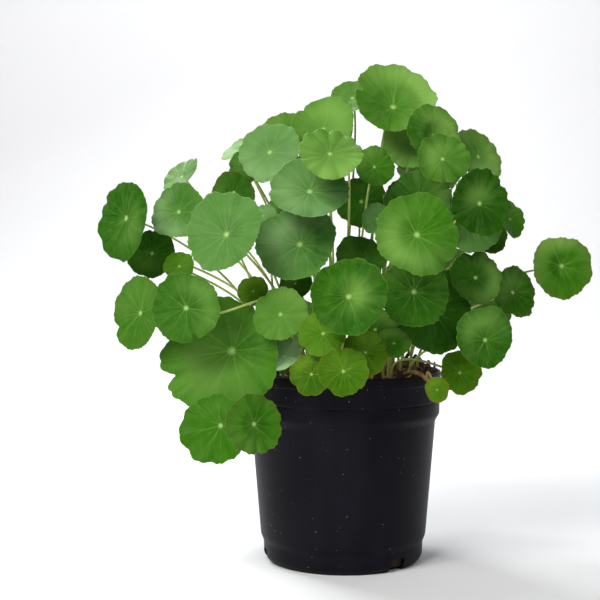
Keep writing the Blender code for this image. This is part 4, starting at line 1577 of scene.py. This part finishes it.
@dataclass
class PottingMix:
    """The mix that fills the pot: a lumpy bed with loose crumbs, fibres and a few bits of perlite."""

    name: str = "potting_mix"
    rings: int = 64
    sides: int = 176
    lump: float = 0.9 * MM
    lump_scale: float = 130.0
    grit: float = 0.45 * MM
    grit_scale: float = 620.0
    gap: float = 0.3 * MM
    rim_fading: float = 14.0
    hidden_side: tuple[tuple[float, float], ...] = ((60.3, 92.0), (53.6, 18.6), (51.6, 13.8))
    hidden_base: float = 49.5 * MM
    edge_drop: float = 4.0 * MM
    crumbs: int = 900
    perlite: int = 9
    grain_margin: float = 1.6 * MM
    grain_lumps: float = 0.28
    grain_stand: float = 0.35
    fibres: int = 150
    fibre_spots: int = 7
    fibre_margin: float = 7.0 * MM
    fibre_bend: float = 0.9
    seed: int = 20

    def __post_init__(self) -> None:
        """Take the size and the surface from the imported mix."""
        solid = frame["nodes"][self.name]
        low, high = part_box(self.name)
        self.bottom = low.z
        self.top = high.z
        corners = [vertex.co.copy() for vertex in solid.data.vertices]
        self.tree = BVHTree.FromPolygons(corners, [tuple(face.vertices) for face in solid.data.polygons])
        self.radius = high.x
        self.chance = np.random.default_rng(self.seed)

    def height(self, x: float, y: float) -> float:
        """The solid's surface at a spot."""
        hit = self.tree.ray_cast(Vector((x, y, 1.0)), Vector((0.0, 0.0, -1.0)))[0]
        return hit.z if hit else self.top - self.edge_drop

    def rough(self, x: float, y: float) -> float:
        """The bed's height at a spot, with its lumps and grit.

        Args:
            x: How far the spot is to the viewer's right.
            y: How far it is behind the pot's axis.

        Returns:
            The height.
        """
        share = min(1.0, (1.0 - math.hypot(x, y) / self.radius) * self.rim_fading)
        coarse = noise.fractal(Vector((x, y, 0.0)) * self.lump_scale, 1.0, 2.1, 3)
        fine = noise.fractal(Vector((x, y, 0.01)) * self.grit_scale, 0.8, 2.2, 3)
        return self.height(x, y) + share * (self.lump * coarse + self.grit * fine)

    def bed(self, draft: Draft) -> None:
        """Add the bed: its rough surface, and the plain side and bottom that the pot hides.

        Args:
            draft: The mesh.
        """
        angles = np.arange(self.sides) * math.tau / self.sides
        points = []
        for ring in range(1, self.rings + 1):
            radius = (self.radius - self.gap) * (ring / self.rings) ** 0.85
            for angle in angles:
                x = radius * math.cos(angle)
                y = radius * math.sin(angle)
                points.append((x, y, self.rough(x, y)))
        profile = [(radius * MM, height * MM) for radius, height in self.hidden_side]
        profile.append((self.hidden_base, self.bottom))
        for radius, height in profile:
            points += [(radius * math.cos(angle), radius * math.sin(angle), height) for angle in angles]
        points += [(0.0, 0.0, self.rough(0.0, 0.0)), (0.0, 0.0, self.bottom)]
        faces = closed_faces(self.rings + len(profile), self.sides, inside_out=True)
        draft.add(np.array(points), faces, 0, grain=0.0)

    def drawn_spot(self, margin: float) -> tuple[float, float]:
        """Draw a spot on the bed.

        Args:
            margin: How far it stays from the edge.

        Returns:
            How far the spot is to the viewer's right and behind the pot's axis.
        """
        reach = (self.radius - margin) * math.sqrt(self.chance.random())
        bearing = self.chance.uniform(0.0, math.tau)
        return reach * math.cos(bearing), reach * math.sin(bearing)

    def scatter(
        self, draft: Draft, count: int, sizes: tuple[float, float], shape: Array, grain: tuple[float, float]
    ) -> None:
        """Add loose grains over the bed.

        Args:
            draft: The mesh.
            count: How many grains.
            sizes: The least and greatest radius.
            shape: How far a grain is stretched along its own axes, at most.
            grain: The least and greatest of the painted number that picks its colour.
        """
        bm = bmesh.new()
        bmesh.ops.create_icosphere(bm, subdivisions=1, radius=1.0)
        ball = np.array([vert.co for vert in bm.verts])
        faces = [[vert.index for vert in face.verts] for face in bm.faces]
        bm.free()
        for _ in range(count):
            x, y = self.drawn_spot(self.grain_margin)
            size = self.chance.uniform(*sizes)
            stretch = 1.0 + (shape - 1.0) * self.chance.random(3)
            lumps = 1.0 + self.chance.uniform(-self.grain_lumps, self.grain_lumps, len(ball))
            axes = np.linalg.qr(self.chance.normal(size=(3, 3)))[0]
            points = (ball * lumps[:, None] * stretch * size) @ axes
            points += (x, y, self.height(x, y) + size * self.grain_stand)
            mirrored = np.linalg.det(axes) < 0.0
            outward = [face[::-1] for face in faces] if mirrored else faces
            draft.add(points, outward, 0, grain=self.chance.uniform(*grain))

    def lay_fibres(self, draft: Draft) -> None:
        """Add thin curved coir fibres over the bed.

        Args:
            draft: The mesh.
        """
        tube = Tube(sides=5)
        spans = self.fibre_spots - 1
        for _ in range(self.fibres):
            x, y = self.drawn_spot(self.fibre_margin)
            heading = self.chance.uniform(0.0, math.tau)
            bend = self.chance.uniform(-self.fibre_bend, self.fibre_bend)
            length = self.chance.uniform(3.0, 8.0) * MM
            line = []
            for step in range(self.fibre_spots):
                lift = self.lump * (0.55 + 0.35 * math.sin(step * 1.7 + heading))
                line.append((x, y, self.height(x, y) + lift))
                x += length / spans * math.cos(heading + bend * step / spans)
                y += length / spans * math.sin(heading + bend * step / spans)
            radii = np.full(self.fibre_spots, self.chance.uniform(0.12, 0.28) * MM)
            points, faces = tube.rings(np.array(line), radii)
            draft.add(points, faces, 0, grain=self.chance.uniform(0.3, 0.93))

    def build(self) -> bpy.types.Object:
        """Build and dress the potting mix.

        Returns:
            The finished piece.
        """
        draft = Draft()
        self.bed(draft)
        self.scatter(draft, self.crumbs, (0.35 * MM, 1.15 * MM), np.array((1.9, 1.3, 1.0)), (0.05, 0.96))
        self.scatter(draft, self.perlite, (1.1 * MM, 2.1 * MM), np.array((1.4, 1.2, 1.0)), (0.985, 1.0))
        self.lay_fibres(draft)
        piece = draft.made("potting_mix_crumbly", [MixFinish().mixed()])
        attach(piece, BODY)
        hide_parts(self.name)
        return piece


@dataclass(frozen=True)
class Lamp:
    """A square soft light: its side, its watts, and what it faces."""

    name: str
    place: Spot
    size: float
    power: float
    tint: Colour = (1.0, 1.0, 1.0)
    aim: Spot = (0.0, 0.0, 0.17)

    def hang(self) -> None:
        """Hang the light, and turn it to what it faces."""
        light = bpy.data.lights.new(self.name, "AREA")
        light.shape = "SQUARE"
        light.size = self.size
        light.energy = self.power
        light.color = self.tint
        lamp = bpy.data.objects.new(self.name, light)
        lamp.location = self.place
        facing = Vector(self.aim) - Vector(self.place)
        lamp.rotation_euler = facing.to_track_quat("-Z", "Y").to_euler()
        bpy.context.scene.collection.objects.link(lamp)


@dataclass
class Studio:
    """The pale floor that sweeps up behind, the soft lights and the camera."""

    lamps: tuple[Lamp, ...] = (
        Lamp("window", (-0.75, -1.05, 1.25), 0.8, 27.0, (1.0, 0.99, 0.97)),
        Lamp("overhead", (-0.55, 0.60, 1.2), 0.5, 19.0, (0.97, 0.99, 1.0)),
        Lamp("rim", (0.9, 0.9, 0.9), 0.5, 1.5),
        Lamp("front", (0.6, -1.4, 1.0), 0.9, 5.5),
        Lamp("backdrop", (0.0, 0.9, 1.6), 1.6, 22.0, aim=(0.0, 2.0, 1.1)),
    )
    air: Colour = (0.93, 0.95, 1.0)
    air_strength: float = 0.15
    photo_side: int = 600
    focal_pixels: float = 1299.0
    camera_place: Spot = (-0.029, -0.870, 0.213)
    camera_drop: float = 2.58
    sweep_start: float = 1.1
    sweep_radius: float = 0.9
    half_width: float = 5.0
    front: float = -3.0
    wall_height: float = 3.0
    sweep_steps: int = 16

    def floor(self) -> None:
        """Lay the floor and its sweep."""
        profile = [(self.front, 0.0), (self.sweep_start, 0.0)]
        for step in range(1, self.sweep_steps + 1):
            angle = math.pi / 2 * step / self.sweep_steps
            profile.append((
                self.sweep_start + self.sweep_radius * math.sin(angle),
                self.sweep_radius * (1.0 - math.cos(angle)),
            ))
        profile.append((self.sweep_start + self.sweep_radius, self.wall_height))
        points = [(side * self.half_width, y, z) for y, z in profile for side in (-1.0, 1.0)]
        faces = [(2 * n, 2 * n + 1, 2 * n + 3, 2 * n + 2) for n in range(len(profile) - 1)]
        draft = Draft()
        draft.add(np.array(points), faces, 0)
        paper = draft.made("studio_floor", [FloorFinish().mixed()])

    def camera(self) -> None:
        """Set the camera at the photo's viewing angle."""
        lens = bpy.data.cameras.new("camera")
        lens.sensor_width = 36.0
        lens.lens = self.focal_pixels / self.photo_side * lens.sensor_width
        camera = bpy.data.objects.new("camera", lens)
        camera.location = self.camera_place
        camera.rotation_euler = (math.radians(90.0 - self.camera_drop), 0.0, 0.0)
        bpy.context.scene.collection.objects.link(camera)
        bpy.context.scene.camera = camera

    def build(self) -> None:
        """Set up the floor, the lights, the air round them and the camera."""
        self.floor()
        for lamp in self.lamps:
            lamp.hang()
        world = bpy.data.worlds.new("studio_air")
        world.use_nodes = True
        background = world.node_tree.nodes["Background"]
        background.inputs["Color"].default_value = (*self.air, 1.0)
        background.inputs["Strength"].default_value = self.air_strength
        bpy.context.scene.world = world
        bpy.context.scene.view_settings.view_transform = "Standard"
        self.camera()


def main() -> None:
    """Build the studio, the pot, the mix and the foliage."""
    logging.basicConfig(level=logging.INFO, format="%(message)s")
    Studio().build()
    pieces = [Pot().build(), PottingMix().build()]
    foliage = Foliage()
    slots = {row["node"]: row["material_slot"] for row in frame["record"]["subparts"]}
    plants = sorted(name for name in frame["nodes"] if name.startswith(("leaf", "creeping_stem")))
    for seed, name in enumerate(plants, start=1):
        pieces.append(foliage.build(name, frame["nodes"][name], slots[name], seed))
    for piece in pieces:
        LOG.info("%s: %d faces", piece.name, len(piece.data.polygons))
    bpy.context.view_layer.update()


if __name__ == "__main__":
    main()
